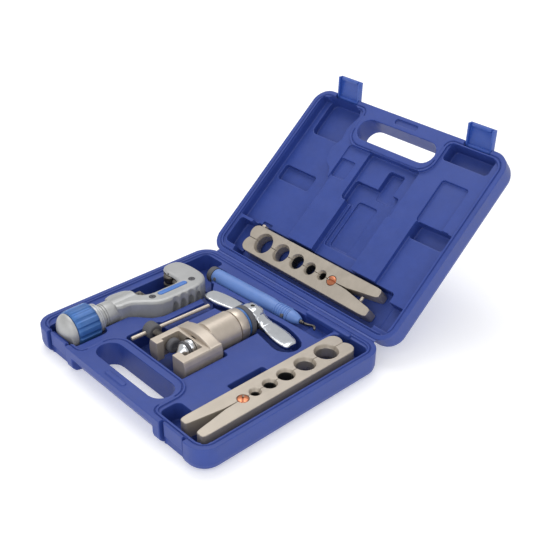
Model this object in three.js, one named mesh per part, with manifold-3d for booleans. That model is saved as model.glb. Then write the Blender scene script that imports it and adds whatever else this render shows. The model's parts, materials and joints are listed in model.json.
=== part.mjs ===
// A flaring tool kit in its moulded case: an eccentric flaring tool, a tube cutter, two flaring bars
// and a deburring pen. Millimetres, +Z up, origin on the floor under the middle of the base tray.
// The lid is drawn as if it lay closed on the base, and one group turns it open about the hinge.
import * as THREE from "three";
import { mergeVertices } from "three/addons/utils/BufferGeometryUtils.js";
import Module from "manifold-3d";

const wasm = await Module();
wasm.setup();

// ---- Driving dimensions -------------------------------------------------------------------------
const CASE_W = 240; // along the hinge
const CASE_D = 203.8; // from handle to hinge
const RIM_Z = 24; // height of the base, and of the rim plane
const LID_H = 24;
const CORNER = 17.6;
const EDGE = 8; // rounding of the outer bottom and top edges
const GAP = 0.3; // room between touching pieces
const HINGE_Y = CASE_D / 2 + 1.2;
const LID_OPEN = THREE.MathUtils.degToRad(140);
const LAND_BASE = RIM_Z - 1.8; // the flat that carries the tools, inside the rim
const LAND_LID = RIM_Z + 3;
const FLOOR = 1.8; // thickness left under the deepest pocket
const SLOT = { y: -76.2, half: 47.5, r: 11.75 };
const ISLAND = { x: 45.7, top: -62.5, r: 10, fillet: 13 };
const LATCH = { x: 82, w: 28.6, y: CASE_D / 2 - 1.6, z: RIM_Z + 5.5, drop: 22.5, open: 42 };

const CUTTER = { x: -84.5, z: RIM_Z };
const FLARE = { x: 6.5, z: RIM_Z - 1 };
const PEN = { x: -79.5, y: 72.5, z: RIM_Z - 3, yaw: 3.2 };
const BAR = { length: 171, width: 30, thick: 15, pivot: 118, apex: 137 };
const BAR_HOLES = [
  [23.5, 9.5],
  [49, 7.95],
  [71, 6.35],
  [89, 4.75],
  [105, 3.2],
];
const BAR_X = 92.1;
const BAR_JAW_Y = 81.5;
const BAR_TOP = RIM_Z + 2.5;
const LID_BAR = { x: -90, y: HINGE_Y - 29.5, z: RIM_Z + 5.3 };

// ---- Finishes -----------------------------------------------------------------------------------
const finish = (color, roughness, metalness) =>
  new THREE.MeshStandardMaterial({ color, roughness, metalness });
const CASE_BLUE = finish(0x4a5aa0, 0.55, 0);
const LATCH_BLUE = finish(0x3a55b0, 0.45, 0);
const NICKEL = finish(0xc4b9ac, 0.35, 0.9);
const CHROME = finish(0xd9dcdf, 0.12, 1);
const CAST_GREY = finish(0xb4b4b2, 0.5, 0.4);
const KNOB_BLUE = finish(0x3a70b8, 0.45, 0);
const PEN_BLUE = finish(0x6f93d2, 0.5, 0);
const BLACK = finish(0x1c1d20, 0.5, 0);
const DARK_STEEL = finish(0x55524e, 0.4, 0.9);
const COPPER = finish(0xc06a40, 0.3, 1);

// ---- Solids -------------------------------------------------------------------------------------
function solid(geometry) {
  const bare = geometry.index ? geometry.toNonIndexed() : geometry.clone();
  bare.deleteAttribute("normal");
  bare.deleteAttribute("uv");
  const merged = mergeVertices(bare, 1e-4);
  const vertProperties = merged.attributes.position.array;
  const triVerts = new Uint32Array(merged.index.array);
  return new wasm.Manifold(new wasm.Mesh({ numProp: 3, vertProperties, triVerts }));
}

const join = (first, ...rest) => rest.reduce((sum, next) => sum.add(next), first);
const cut = (first, ...rest) => rest.reduce((left, next) => left.subtract(next), first);

function mesh(name, shape, material) {
  const { vertProperties, triVerts } = shape.getMesh();
  const geometry = new THREE.BufferGeometry();
  geometry.setAttribute("position", new THREE.BufferAttribute(vertProperties, 3));
  geometry.setIndex(new THREE.BufferAttribute(triVerts, 1));
  geometry.computeVertexNormals();
  const made = new THREE.Mesh(geometry, material);
  made.name = name;
  return made;
}

function box(x0, x1, y0, y1, z0, z1) {
  const geometry = new THREE.BoxGeometry(x1 - x0, y1 - y0, z1 - z0);
  return solid(geometry.translate((x0 + x1) / 2, (y0 + y1) / 2, (z0 + z1) / 2));
}

// A flat outline raised from z0 to z1.
function plate(shape, z0, z1, curveSegments = 4) {
  const geometry = new THREE.ExtrudeGeometry(shape, {
    depth: z1 - z0,
    bevelEnabled: false,
    curveSegments,
  });
  return solid(geometry.translate(0, 0, z0));
}

// A flat outline, already drawn `round` smaller, raised with rounded edges on both faces.
function roundedPlate(shape, z0, z1, round, bevelSegments = 2, curveSegments = 4) {
  const geometry = new THREE.ExtrudeGeometry(shape, {
    depth: z1 - z0 - 2 * round,
    bevelThickness: round,
    bevelSize: round,
    bevelSegments,
    curveSegments,
  });
  return solid(geometry.translate(0, 0, z0 + round));
}

function roundRect(x0, x1, y0, y1, r) {
  const shape = new THREE.Shape();
  shape.absarc(x1 - r, y0 + r, r, -Math.PI / 2, 0);
  shape.absarc(x1 - r, y1 - r, r, 0, Math.PI / 2);
  shape.absarc(x0 + r, y1 - r, r, Math.PI / 2, Math.PI);
  shape.absarc(x0 + r, y0 + r, r, Math.PI, 1.5 * Math.PI);
  return shape;
}

const polygon = (points) => new THREE.Shape(points.map(([x, y]) => new THREE.Vector2(x, y)));

// A smooth closed outline through the points.
function smooth(points, divisions) {
  const ends = points.map(([x, y]) => new THREE.Vector3(x, y, 0));
  const curve = new THREE.CatmullRomCurve3(ends, true, "catmullrom", 0.5);
  return polygon(curve.getPoints(divisions).slice(0, -1).map((p) => [p.x, p.y]));
}

// A solid of revolution about Y; the profile runs [radius, y] and starts and ends on the axis.
function turned(profile, segments = 24) {
  const points = profile.map(([r, y]) => new THREE.Vector2(r, y));
  return solid(new THREE.LatheGeometry(points, segments));
}

function rodY(r, y0, y1, segments = 24, x = 0, z = 0) {
  const geometry = new THREE.CylinderGeometry(r, r, y1 - y0, segments);
  return solid(geometry.translate(x, (y0 + y1) / 2, z));
}

function rodX(r, x0, x1, segments = 24, y = 0, z = 0) {
  const geometry = new THREE.CylinderGeometry(r, r, x1 - x0, segments);
  return solid(geometry.rotateZ(Math.PI / 2).translate((x0 + x1) / 2, y, z));
}

function rodZ(r, z0, z1, segments = 24, x = 0, y = 0) {
  const geometry = new THREE.CylinderGeometry(r, r, z1 - z0, segments);
  return solid(geometry.rotateX(Math.PI / 2).translate(x, y, (z0 + z1) / 2));
}

function group(children, position = [0, 0, 0], rotation = [0, 0, 0]) {
  const made = new THREE.Group();
  made.position.set(...position);
  made.rotation.set(...rotation);
  made.add(...children);
  return made;
}

// ---- Case ---------------------------------------------------------------------------------------
// The inner outline of the rim, `inset` in from the outer edge, which steps round the hand slot.
function rimOutline(inset) {
  const x = CASE_W / 2 - inset;
  const y = CASE_D / 2 - inset;
  const r = CORNER - inset;
  const ix = ISLAND.x + inset;
  const top = ISLAND.top + inset;
  const ir = ISLAND.r + inset;
  const fillet = ISLAND.fillet - inset;
  const half = Math.PI / 2;
  const shape = new THREE.Shape();
  shape.absarc(-ix - fillet, -y + fillet, fillet, -half, 0);
  shape.absarc(-ix + ir, top - ir, ir, Math.PI, half, true);
  shape.absarc(ix - ir, top - ir, ir, half, 0, true);
  shape.absarc(ix + fillet, -y + fillet, fillet, Math.PI, 3 * half);
  shape.absarc(x - r, -y + r, r, -half, 0);
  shape.absarc(x - r, y - r, r, 0, half);
  shape.absarc(-x + r, y - r, r, half, Math.PI);
  shape.absarc(-x + r, -y + r, r, Math.PI, 3 * half);
  return shape;
}

// One half of the case as a solid block, with its far face rounded over.
function shell(z0, z1) {
  const x = CASE_W / 2 - EDGE;
  const y = CASE_D / 2 - EDGE;
  const outline = roundRect(-x, x, -y, y, CORNER - EDGE);
  const low = Math.min(z0, z1);
  const high = Math.max(z0, z1);
  const under = z0 < z1 ? 0 : 2 * EDGE;
  const over = z0 < z1 ? 2 * EDGE : 0;
  const block = roundedPlate(outline, low - under, high + over, EDGE, 3, 5);
  return block.intersect(box(-CASE_W, CASE_W, -CASE_D, CASE_D, low, high));
}

function handSlot() {
  const { y, half, r } = SLOT;
  return plate(roundRect(-half, half, y - r, y + r, r - 0.01), -1, RIM_Z + LID_H + 2, 6);
}

// The groove that runs round the rim just inside its edge.
function rimGroove(z0, z1) {
  const ring = rimOutline(4.3);
  ring.holes.push(new THREE.Path(rimOutline(5.7).getPoints(4)));
  return plate(ring, z0, z1);
}

function pocket(x0, x1, y0, y1, z0, z1, r = 4) {
  return plate(roundRect(x0, x1, y0, y1, r), z0, z1, 3);
}

// Room in the front wall for a latch: a shallow panel, a deeper groove at each side of it for the
// latch's flanges, and a notch low down for its hook.
function latchSeat(x, z0, z1) {
  const wall = -CASE_D / 2;
  const half = LATCH.w / 2;
  const panel = box(x - half - 0.7, x + half + 0.7, wall - 1, wall + 2.2, z0, z1);
  const grooves = [-1, 1].map((side) => {
    const middle = x + side * (half - 0.9);
    return box(middle - 1.6, middle + 1.6, wall - 1, wall + 5.8, z0, z1);
  });
  return join(panel, ...grooves);
}

function baseTray() {
  const top = RIM_Z + 1;
  const slope = polygon([
    [-CASE_D / 2 - 1, RIM_Z - 6],
    [-CASE_D / 2 + 10, -1],
    [-CASE_D / 2 - 1, -1],
  ]);
  const undercut = plate(slope, -58, 58);
  const turn = new THREE.Matrix4().set(0, 0, 1, 0, 1, 0, 0, 0, 0, 1, 0, 0, 0, 0, 0, 1);
  const hookNotch = (x) =>
    box(x - 11.5, x + 11.5, -CASE_D / 2 - 1, -CASE_D / 2 + 4.2, -1, 10.5);
  const cutterBay = join(
    pocket(-105.5, -62.5, -96, -58.5, FLOOR, top, 6),
    pocket(-99.5, -70, -62, -30, FLOOR, top, 2),
    plate(
      polygon([
        [-105.5, -36],
        [-72, -36],
        [-66, -28.5],
        [-54, -18],
        [-49.5, -8],
        [-49.5, 48],
        [-62, 61],
        [-105.5, 61],
      ]),
      FLOOR,
      top,
    ),
    pocket(-111, -84, 55, 92, FLOOR + 2, top, 5),
  );
  const flareBay = join(
    pocket(-22.5, 35, -55, -3, FLOOR, top, 3),
    pocket(-46, -20, -54, -16, FLOOR, top, 4),
    pocket(-42.5, -29, -20, 37, RIM_Z - 5.5, top, 3),
    pocket(-14.5, 27.5, -6, 44, FLOOR, top, 3),
    smoothBay(),
  );
  const barBay = join(
    pocket(74, 112, -93, 88, RIM_Z - 13.5, top, 4),
    pocket(56, 112, -93, -73, 5, top, 5),
    pocket(66.5, 78, -32, 7.5, 9, top, 2),
    pocket(76, 112, 62, 92, 5, top, 8),
  );
  return cut(
    shell(0, RIM_Z),
    handSlot(),
    undercut.transform(turn.elements),
    plate(rimOutline(7.5), LAND_BASE, top),
    rimGroove(RIM_Z - 1.4, top),
    latchSeat(-LATCH.x, -1, top),
    latchSeat(LATCH.x, -1, top),
    hookNotch(-LATCH.x),
    hookNotch(LATCH.x),
    cutterBay,
    flareBay,
    barBay,
    penBay(),
  );
}

// The bow-shaped bay round the flaring tool's wing handle.
function smoothBay() {
  const outline = smooth(
    [
      [-54, 42],
      [-44, 33.5],
      [-18, 36],
      [6.5, 40],
      [36, 35.5],
      [58, 32],
      [69, 42],
      [64, 56],
      [38, 63],
      [6.5, 61],
      [-24, 60],
      [-49, 54],
    ],
    36,
  );
  return plate(outline, FLOOR, RIM_Z + 1);
}

function penBay() {
  const geometry = new THREE.BoxGeometry(126, 19.4, RIM_Z);
  geometry.translate(60, 0, RIM_Z / 2 + 9.5);
  geometry.rotateZ(THREE.MathUtils.degToRad(PEN.yaw)).translate(PEN.x, PEN.y, 0);
  return join(
    solid(geometry),
    pocket(36, 71, 70, 91, RIM_Z - 12, RIM_Z + 1, 3),
    pocket(-88, -66, 60, 84, 7, RIM_Z + 1, 4),
  );
}

// The lid, in the place where it lies closed on the base.
function caseLid() {
  const rim = RIM_Z + GAP;
  const below = RIM_Z - 1;
  const back = RIM_Z + LID_H;
  const bay = (x0, x1, y0, y1, depth, r) => pocket(x0, x1, y0, y1, below, RIM_Z + depth, r);
  const cutterBay = join(
    plate(
      polygon([
        [-112, 57],
        [-46, 57],
        [-45, -6],
        [-46, -16],
        [-51, -25],
        [-60, -31],
        [-64, -45],
        [-59, -58],
        [-61, -71],
        [-57, -87],
        [-60, -93.5],
        [-112, -93.5],
      ]),
      below,
      RIM_Z + 11.6,
    ),
    bay(-105.5, -62.5, -96, -55.6, 19, 6),
    bay(-108, -64, -13, 4.5, 17, 3),
  );
  const flareBay = join(
    bay(-20, 43, -57, -4, 10, 3),
    bay(-19, 36, -27, -3, 16, 3),
    bay(9, 28, -49, -18, 17, 3),
    bay(-13, 40, -6, 57, 13, 3),
    bay(-10, 36, -6, 44, 16, 3),
    bay(-5.5, 18.5, -10, 42, 18.2, 3),
    bay(-46, -12, -56, 57, 5, 3),
    bay(-46, -28, -41, -20, 7.5, 2),
  );
  const barBay = join(
    bay(-94, 92, 56, 95, 20.8, 3),
    bay(-110, -86, 60, 89, 18, 4),
    bay(-88, -75, 52, 60, 14.5, 1),
    bay(70, 112, -13, 95, 8, 3),
    bay(90, 111, 65, 90, 20, 4),
    bay(69, 99, -59, -13, 6, 3),
    bay(70, 108, -14, 3, 17, 3),
    bay(55, 106, -95, -77, 17, 4),
  );
  const recess = (x) => {
    const half = LATCH.w / 2 + 0.7;
    return box(x - half, x + half, -CASE_D, -LATCH.y + 3.6, below, LATCH.z + 4.5);
  };
  return cut(
    shell(back, rim),
    handSlot(),
    plate(rimOutline(7.5), below, LAND_LID),
    rimGroove(below, RIM_Z + 1.4 + GAP),
    recess(-LATCH.x),
    recess(LATCH.x),
    cutterBay,
    flareBay,
    barBay,
  );
}

// The flexing strip that joins the two halves.
function hingeStrip() {
  const y = CASE_D / 2;
  return box(-CASE_W / 2 + 13, CASE_W / 2 - 13, y + GAP, y + 1.1, RIM_Z - 4, RIM_Z - 0.3);
}

// A latch hanging from its barrel, which lies on the X axis; its hook points back at the case.
function latch() {
  const half = LATCH.w / 2;
  const flange = (side) => {
    const x0 = side > 0 ? half - 1.7 : -half;
    return box(x0, x0 + 1.7, -2, 3.2, -LATCH.drop, -1);
  };
  return join(
    rodX(2.2, -half, half, 16),
    box(-half, half, -2.2, -0.2, -LATCH.drop, 0),
    flange(-1),
    flange(1),
    box(-10.5, 10.5, -1, 1.8, -LATCH.drop, -LATCH.drop + 2.6),
  );
}

function latchAt(name, x) {
  const open = -THREE.MathUtils.degToRad(LATCH.open);
  return group([mesh(name, latch(), LATCH_BLUE)], [x, -LATCH.y, LATCH.z], [open, 0, 0]);
}

// ---- Tube cutter, on its feed screw's axis ------------------------------------------------------
const JAW_Y = -15; // face of the jaw that carries the cutting wheel
const ROLLER = { x: 7, y: 31, r: 6.5, half: 7 };
const WHEEL = { y: -9, r: 8, half: 1.2 };

function cutterFrame() {
  const outline = smooth(
    [
      [7.5, -40],
      [10, -27],
      [19, -15],
      [26.5, -4],
      [28, 18],
      [27, 38],
      [20, 48.5],
      [8, 51],
      [-8, 50],
      [-16.5, 46],
      [-17, 35],
      [-9, 31.5],
      [6, 31.5],
      [13.5, 26],
      [14.2, 10],
      [13.5, -6],
      [7, -16.5],
      [-3, -18],
      [-8, -24],
      [-7.5, -40],
    ],
    60,
  );
  const scallops = [9, 18, 27, 36].map((y) => rodZ(6, -20, 20, 20, 35.7, y));
  return cut(
    join(roundedPlate(outline, -10.5, 10.5, 3), rodY(11.4, -56, -16.5, 28)),
    rodY(5, -57, -52.5, 24),
    rodY(8.3, -53, -10, 24),
    box(-17, 17, 20, 38.5, -ROLLER.half - 0.4, ROLLER.half + 0.4),
    ...[-1, 1].map((side) => rodZ(2.2, -9, 9, 12, side * ROLLER.x, ROLLER.y)),
    plate(roundRect(14.5, 20.5, -1, 32, 2.9), 9.4, 12),
    rodZ(3, 7, 12, 16, 17.5, -7.5),
    rodZ(3, 7, 12, 16, 17, 38.5),
    ...scallops,
  );
}

function flutedSleeve() {
  const points = [];
  const steps = 56;
  for (let i = 0; i < steps; i += 1) {
    const turn = (2 * Math.PI * i) / steps;
    const r = 18 - 0.7 * Math.max(0, Math.cos(14 * turn));
    points.push([r * Math.cos(turn), r * Math.sin(turn)]);
  }
  const outline = polygon(points);
  const bore = new THREE.Path();
  bore.absarc(0, 0, 9, 0, 2 * Math.PI, true);
  outline.holes.push(bore);
  const geometry = new THREE.ExtrudeGeometry(outline, {
    depth: 23.6,
    bevelEnabled: false,
    curveSegments: 12,
  });
  return solid(geometry.rotateX(Math.PI / 2).translate(0, -62.2, 0));
}

function cutterKnob() {
  const cap = turned(
    [
      [0, -95.4],
      [6, -95],
      [11.5, -93],
      [15, -89.8],
      [16.4, -86.1],
      [8.6, -86.1],
      [8.6, -75],
      [0, -75],
    ],
    28,
  );
  const ring = cut(rodY(14.6, -61.9, -56.6, 28), rodY(4.6, -63, -56, 20));
  const screw = join(rodY(4, -63, -24, 20), rodY(8.4, -74.7, -62.2, 20));
  return [
    mesh("cutter_knob_sleeve", flutedSleeve(), KNOB_BLUE),
    mesh("cutter_knob_cap", cap, CAST_GREY),
    mesh("cutter_knob_ring", ring, CAST_GREY),
    mesh("cutter_feed_screw", screw, DARK_STEEL),
  ];
}

function cutterCarriage() {
  const slide = cut(
    join(rodY(7.9, -50, -18, 20), box(-5, 5, -19, -6, -5.4, 5.4)),
    rodY(4.3, -51, -22, 20),
    box(-9, 9, -18.2, 0, -WHEEL.half - GAP, WHEEL.half + GAP),
    rodZ(2.2, -8, 8, 12, 0, WHEEL.y),
  );
  const wheelProfile = [
    [0, -WHEEL.half],
    [4.5, -WHEEL.half],
    [WHEEL.r, 0],
    [4.5, WHEEL.half],
    [0, WHEEL.half],
  ];
  const disc = turned(wheelProfile, 28).rotate([90, 0, 0]).translate([0, WHEEL.y, 0]);
  const wheel = cut(disc, rodZ(2.2, -3, 3, 12, 0, WHEEL.y));
  return [
    mesh("cutter_wheel_slide", slide, DARK_STEEL),
    mesh("cutter_wheel", wheel, CHROME),
    mesh("cutter_wheel_pin", rodZ(1.9, -5.4, 5.4, 12, 0, WHEEL.y), DARK_STEEL),
  ];
}

function cutterRollers() {
  return [
    ["left", -1],
    ["right", 1],
  ].flatMap(([name, side]) => {
    const x = side * ROLLER.x;
    const { y, r, half } = ROLLER;
    const drum = cut(
      rodZ(r - 0.2, -half, half, 20, x, y),
      cut(rodZ(r + 1, -1.2, 1.2, 20, x, y), rodZ(r - 1.2, -2, 2, 20, x, y)),
      rodZ(2.2, -9, 9, 12, x, y),
    );
    return [
      mesh(`cutter_roller_${name}`, drum, DARK_STEEL),
      mesh(`cutter_roller_pin_${name}`, rodZ(1.9, -8.8, 8.8, 12, x, y), DARK_STEEL),
    ];
  });
}

function tubeCutter() {
  const screwHead = (x, y) => cut(rodZ(2.7, 7.3, 10, 14, x, y), rodZ(1.2, 8.6, 11, 6, x, y));
  return group(
    [
      mesh("cutter_frame", cutterFrame(), CAST_GREY),
      mesh("cutter_inlay", plate(roundRect(14.8, 20.2, -0.7, 31.7, 2.6), 9.7, 10.8), KNOB_BLUE),
      mesh("cutter_frame_screw_front", screwHead(17.5, -7.5), BLACK),
      mesh("cutter_frame_screw_rear", screwHead(17, 38.5), BLACK),
      ...cutterKnob(),
      ...cutterCarriage(),
      ...cutterRollers(),
    ],
    [CUTTER.x, 0, CUTTER.z],
  );
}

// ---- Eccentric flaring tool, on its spindle's axis ----------------------------------------------
const YOKE = { front: -47.5, shoulder: -18, back: -6, r: 25, half: 9.5, collar: 15 };
const CLAMP = { y: -30.5, yaw: 2.8, headX: -44 };

function flareYoke() {
  const { front, shoulder, back, r, half, collar } = YOKE;
  const blank = join(rodY(r, front, back, 40), rodY(17.5, back - 1, 23.2, 36));
  const slab = (y0, y1, z) => [
    box(-30, 30, y0, y1, z, 30),
    box(-30, 30, y0, y1, -30, -z),
  ];
  return cut(
    blank,
    ...slab(front - 1, shoulder, half),
    ...slab(shoulder - 1, back, collar),
    box(-17, 16, -40, -21.5, -20, 20),
    box(-13.5, 8, front - 1, -39, -20, 20),
    rodY(9.4, -22, -13.5, 28),
    rodY(6.6, -14, 24, 24),
    rodX(4.4, -30, -16, 20, CLAMP.y),
  );
}

function ring(r, bore, y0, y1, segments = 32) {
  return cut(rodY(r, y0, y1, segments), rodY(bore, y0 - 1, y1 + 1, 24));
}

function wingHandle() {
  const half = [
    [8, 56],
    [28, 57.5],
    [46, 53.5],
    [55.5, 47],
    [54, 40.5],
    [46, 38.2],
    [30, 40],
    [16, 43.3],
    [8, 44],
  ];
  const outline = smooth([...half, ...half.map(([x, y]) => [-x, y]).reverse()], 48);
  const wings = plate(outline, -2.8, 2.8);
  const hub = turned(
    [
      [0, 43],
      [11, 43],
      [12, 45],
      [12, 53],
      [9.5, 56.6],
      [0, 56.6],
    ],
    28,
  );
  return cut(join(wings, hub), rodY(6.5, 42, 48.4, 24), rodZ(1.9, 6.6, 14, 12, 0, 50));
}

function flareFeed() {
  const cone = turned(
    [
      [0, -38.6],
      [1.2, -38.2],
      [8, -31.6],
      [8, -29.3],
      [0, -29.3],
    ],
    28,
  ).translate([1, 0, 0]);
  return [
    mesh("flare_cone_holder", rodY(8.6, -26.5, -14.6, 28), CHROME),
    mesh("flare_cone_ring", rodY(8.9, -29, -26.8, 28), BLACK),
    mesh("flare_cone", cone, CHROME),
  ];
}

function flareClamp() {
  const yaw = -THREE.MathUtils.degToRad(CLAMP.yaw);
  const tilt = [0, 0, CLAMP.yaw * -1];
  const bore = rodY(2.1, -12, 12, 12).rotate(tilt).translate([CLAMP.headX, CLAMP.y, 0]);
  const head = turned(
    [
      [0, -5.5],
      [6.6, -5.5],
      [7.5, -4.4],
      [7.5, 4.4],
      [6.6, 5.5],
      [0, 5.5],
    ],
    24,
  );
  const knob = head.rotate([0, 0, -90]).translate([CLAMP.headX, CLAMP.y, 0]);
  const shoe = box(-16.4, -10.5, CLAMP.y - 7, CLAMP.y + 7, -8.5, 8.5);
  const tommy = rodY(1.75, -21.5, 63, 14);
  return [
    mesh("flare_clamp_screw", rodX(4, -38.2, -16.7, 20, CLAMP.y), DARK_STEEL),
    mesh("flare_clamp_knob", cut(knob, bore), BLACK),
    mesh("flare_clamp_shoe", shoe, BLACK),
    group([mesh("flare_tommy_bar", tommy, NICKEL)], [CLAMP.headX, CLAMP.y, 0], [0, 0, yaw]),
  ];
}

function flaringTool() {
  const pin = rodZ(1.6, 6.9, 10.8, 12, 0, 50);
  return group(
    [
      mesh("flare_yoke", flareYoke(), NICKEL),
      mesh("flare_barrel_cap", ring(15, 6.6, 23.5, 34.4), NICKEL),
      mesh("flare_seal_ring", ring(14.4, 6.6, 34.7, 37), KNOB_BLUE),
      mesh("flare_clutch_collar", ring(15, 6.6, 37.3, 42.7), BLACK),
      mesh("flare_spindle", rodY(6.2, -14.3, 48, 24), DARK_STEEL),
      mesh("flare_handle", wingHandle(), CHROME),
      mesh("flare_handle_pin", pin, DARK_STEEL),
      ...flareFeed(),
      ...flareClamp(),
    ],
    [FLARE.x, 0, FLARE.z],
  );
}

// ---- Flaring bars: two jaws on a slotted pivot pin ----------------------------------------------
// A jaw lies on the +X side of the seam, from its nose at Y = 0 to the tip of its leg.
function barJaw(side) {
  const { length, width, thick, pivot, apex } = BAR;
  const w = width / 2;
  const seam = GAP / 2;
  const outline = polygon([
    [seam, 3],
    [5, 0],
    [w - 5.5, 0.6],
    [w - 1.5, 3.4],
    [w, 8],
    [w, length - 5],
    [w - 3, length - 0.6],
    [w - 8, length],
    [w - 9.2, length - 2],
    [0.7, apex],
    [seam, pivot + 4],
  ]);
  const holes = BAR_HOLES.map(([y, r]) => rodZ(r, -1, thick + 1, 24, 0, y));
  const jaw = cut(plate(outline, 0, thick), ...holes, rodZ(4.5, -1, thick + 1, 20, 0, pivot));
  return side > 0 ? jaw : jaw.mirror([1, 0, 0]);
}

function pivotPin() {
  const { thick, pivot } = BAR;
  return cut(
    rodZ(4.1, 0, thick + 0.3, 20, 0, pivot),
    box(-0.8, 0.8, pivot - 3, pivot + 6, -1, thick + 2),
  );
}

function baseBar() {
  return group(
    [
      mesh("base_bar_jaw_left", barJaw(1), NICKEL),
      mesh("base_bar_jaw_right", barJaw(-1), NICKEL),
      mesh("base_bar_pivot_pin", pivotPin(), COPPER),
    ],
    [BAR_X, BAR_JAW_Y, BAR_TOP - BAR.thick],
    [0, 0, Math.PI],
  );
}

// The lid's bar is drawn as it lies in the closed lid, nose to the left.
function lidBar() {
  const stopPin = rodX(1.6, -3.2, 1.4, 12, 155, BAR.thick / 2 - 3);
  const nib = box(BAR.width / 2 + 0.05, BAR.width / 2 + 2.8, 7, 11, 2, 8);
  return group(
    [
      mesh("lid_bar_jaw_lower", barJaw(-1), NICKEL),
      mesh("lid_bar_jaw_upper", barJaw(1), NICKEL),
      mesh("lid_bar_pivot_pin", pivotPin(), COPPER),
      mesh("lid_bar_spring_stud", stopPin, NICKEL),
      mesh("lid_bar_stop_nib", nib, NICKEL),
    ],
    [LID_BAR.x, LID_BAR.y, LID_BAR.z],
    [0, 0, -Math.PI / 2],
  );
}

// ---- Deburring pen, lying along X from its end cap ----------------------------------------------
function deburringPen() {
  const alongX = (profile, segments) => turned(profile, segments).rotate([0, 0, -90]);
  const cap = alongX(
    [
      [0, 0],
      [7, 0],
      [8.1, 1.5],
      [8.1, 6.5],
      [0, 6.5],
    ],
    24,
  );
  const body = alongX(
    [
      [0, 6.8],
      [7.6, 6.8],
      [7.8, 12],
      [7.6, 84],
      [6.6, 89],
      [6.9, 92],
      [6.5, 106],
      [0, 106],
    ],
    24,
  );
  const nose = alongX(
    [
      [0, 106.3],
      [6.4, 106.3],
      [6, 111],
      [3.2, 118],
      [0, 118],
    ],
    24,
  );
  const chuck = rodX(2, 118.3, 122.4, 14);
  const sCurve = smooth(
    [
      [123.2, 0.9],
      [127, 1.6],
      [131, 3.4],
      [134.5, 2.6],
      [137, -0.6],
      [135.6, -1.6],
      [133, 0.9],
      [130.6, 1.2],
      [127, -0.6],
      [123.2, -0.9],
    ],
    24,
  );
  return group(
    [
      mesh("pen_end_cap", cap, BLACK),
      mesh("pen_body", body, PEN_BLUE),
      mesh("pen_nose", nose, PEN_BLUE),
      mesh("pen_blade_chuck", chuck, DARK_STEEL),
      mesh("pen_blade", plate(sCurve, -1.1, 1.1), DARK_STEEL),
    ],
    [PEN.x, PEN.y, PEN.z],
    [0, 0, THREE.MathUtils.degToRad(PEN.yaw)],
  );
}

// ---- Assembly -----------------------------------------------------------------------------------
const closedLid = group(
  [
    mesh("case_lid", caseLid(), CASE_BLUE),
    latchAt("latch_left", -LATCH.x),
    latchAt("latch_right", LATCH.x),
    lidBar(),
  ],
  [0, -HINGE_Y, -RIM_Z],
);

const root = group([
  mesh("base_tray", baseTray(), CASE_BLUE),
  mesh("hinge_strip", hingeStrip(), CASE_BLUE),
  group([closedLid], [0, HINGE_Y, RIM_Z], [-LID_OPEN, 0, 0]),
  tubeCutter(),
  flaringTool(),
  baseBar(),
  deburringPen(),
]);

export default root;
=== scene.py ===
"""A flaring tool kit in its open moulded case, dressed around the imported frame.

Lengths in the classes are millimetres; Blender objects are in metres in the frame's own axes.
"""
import json
import logging
import math
from collections.abc import Callable, Sequence
from dataclasses import dataclass, field
from enum import Enum

import bmesh
import bpy
from mathutils import Matrix, Vector


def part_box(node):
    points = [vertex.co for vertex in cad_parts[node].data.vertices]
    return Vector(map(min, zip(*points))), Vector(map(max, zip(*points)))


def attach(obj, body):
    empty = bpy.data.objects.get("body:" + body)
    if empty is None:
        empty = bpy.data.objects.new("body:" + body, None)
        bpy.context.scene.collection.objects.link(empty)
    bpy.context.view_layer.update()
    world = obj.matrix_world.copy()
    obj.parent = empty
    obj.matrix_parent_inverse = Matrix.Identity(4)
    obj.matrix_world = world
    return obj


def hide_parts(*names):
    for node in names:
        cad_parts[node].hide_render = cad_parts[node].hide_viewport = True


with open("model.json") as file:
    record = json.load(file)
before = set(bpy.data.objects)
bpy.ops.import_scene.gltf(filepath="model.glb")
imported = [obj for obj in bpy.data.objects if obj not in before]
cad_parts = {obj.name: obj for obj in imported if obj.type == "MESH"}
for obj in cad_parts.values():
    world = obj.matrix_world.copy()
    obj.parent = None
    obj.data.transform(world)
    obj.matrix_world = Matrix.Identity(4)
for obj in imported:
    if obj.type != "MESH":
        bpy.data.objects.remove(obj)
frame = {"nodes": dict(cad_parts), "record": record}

LOG = logging.getLogger("kit")
MM = 0.001
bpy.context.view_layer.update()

Point = tuple[float, float, float]
Flat = tuple[float, float]
Profile = Sequence[Flat]
Colour = tuple[float, float, float]


class Slot(Enum):
    """The record's material slots."""

    CASE = "case_blue"
    LATCH = "latch_blue"
    NICKEL = "nickel"
    CHROME = "chrome"
    CAST = "cast_grey"
    KNOB = "knob_blue"
    PEN = "pen_blue"
    BLACK = "black_plastic"
    STEEL = "dark_steel"
    COPPER = "copper"


class Lay(Enum):
    """Which way the machining or brushing lines of a metal run, as a stretch of its coordinates."""

    ALONG_X = (0.05, 1.0, 1.0)
    ALONG_Y = (1.0, 0.05, 1.0)
    ROUND_Y = (0.04, 1.0, 0.04)
    ROUND_X = (1.0, 0.04, 0.04)
    NONE = (1.0, 1.0, 1.0)


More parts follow.
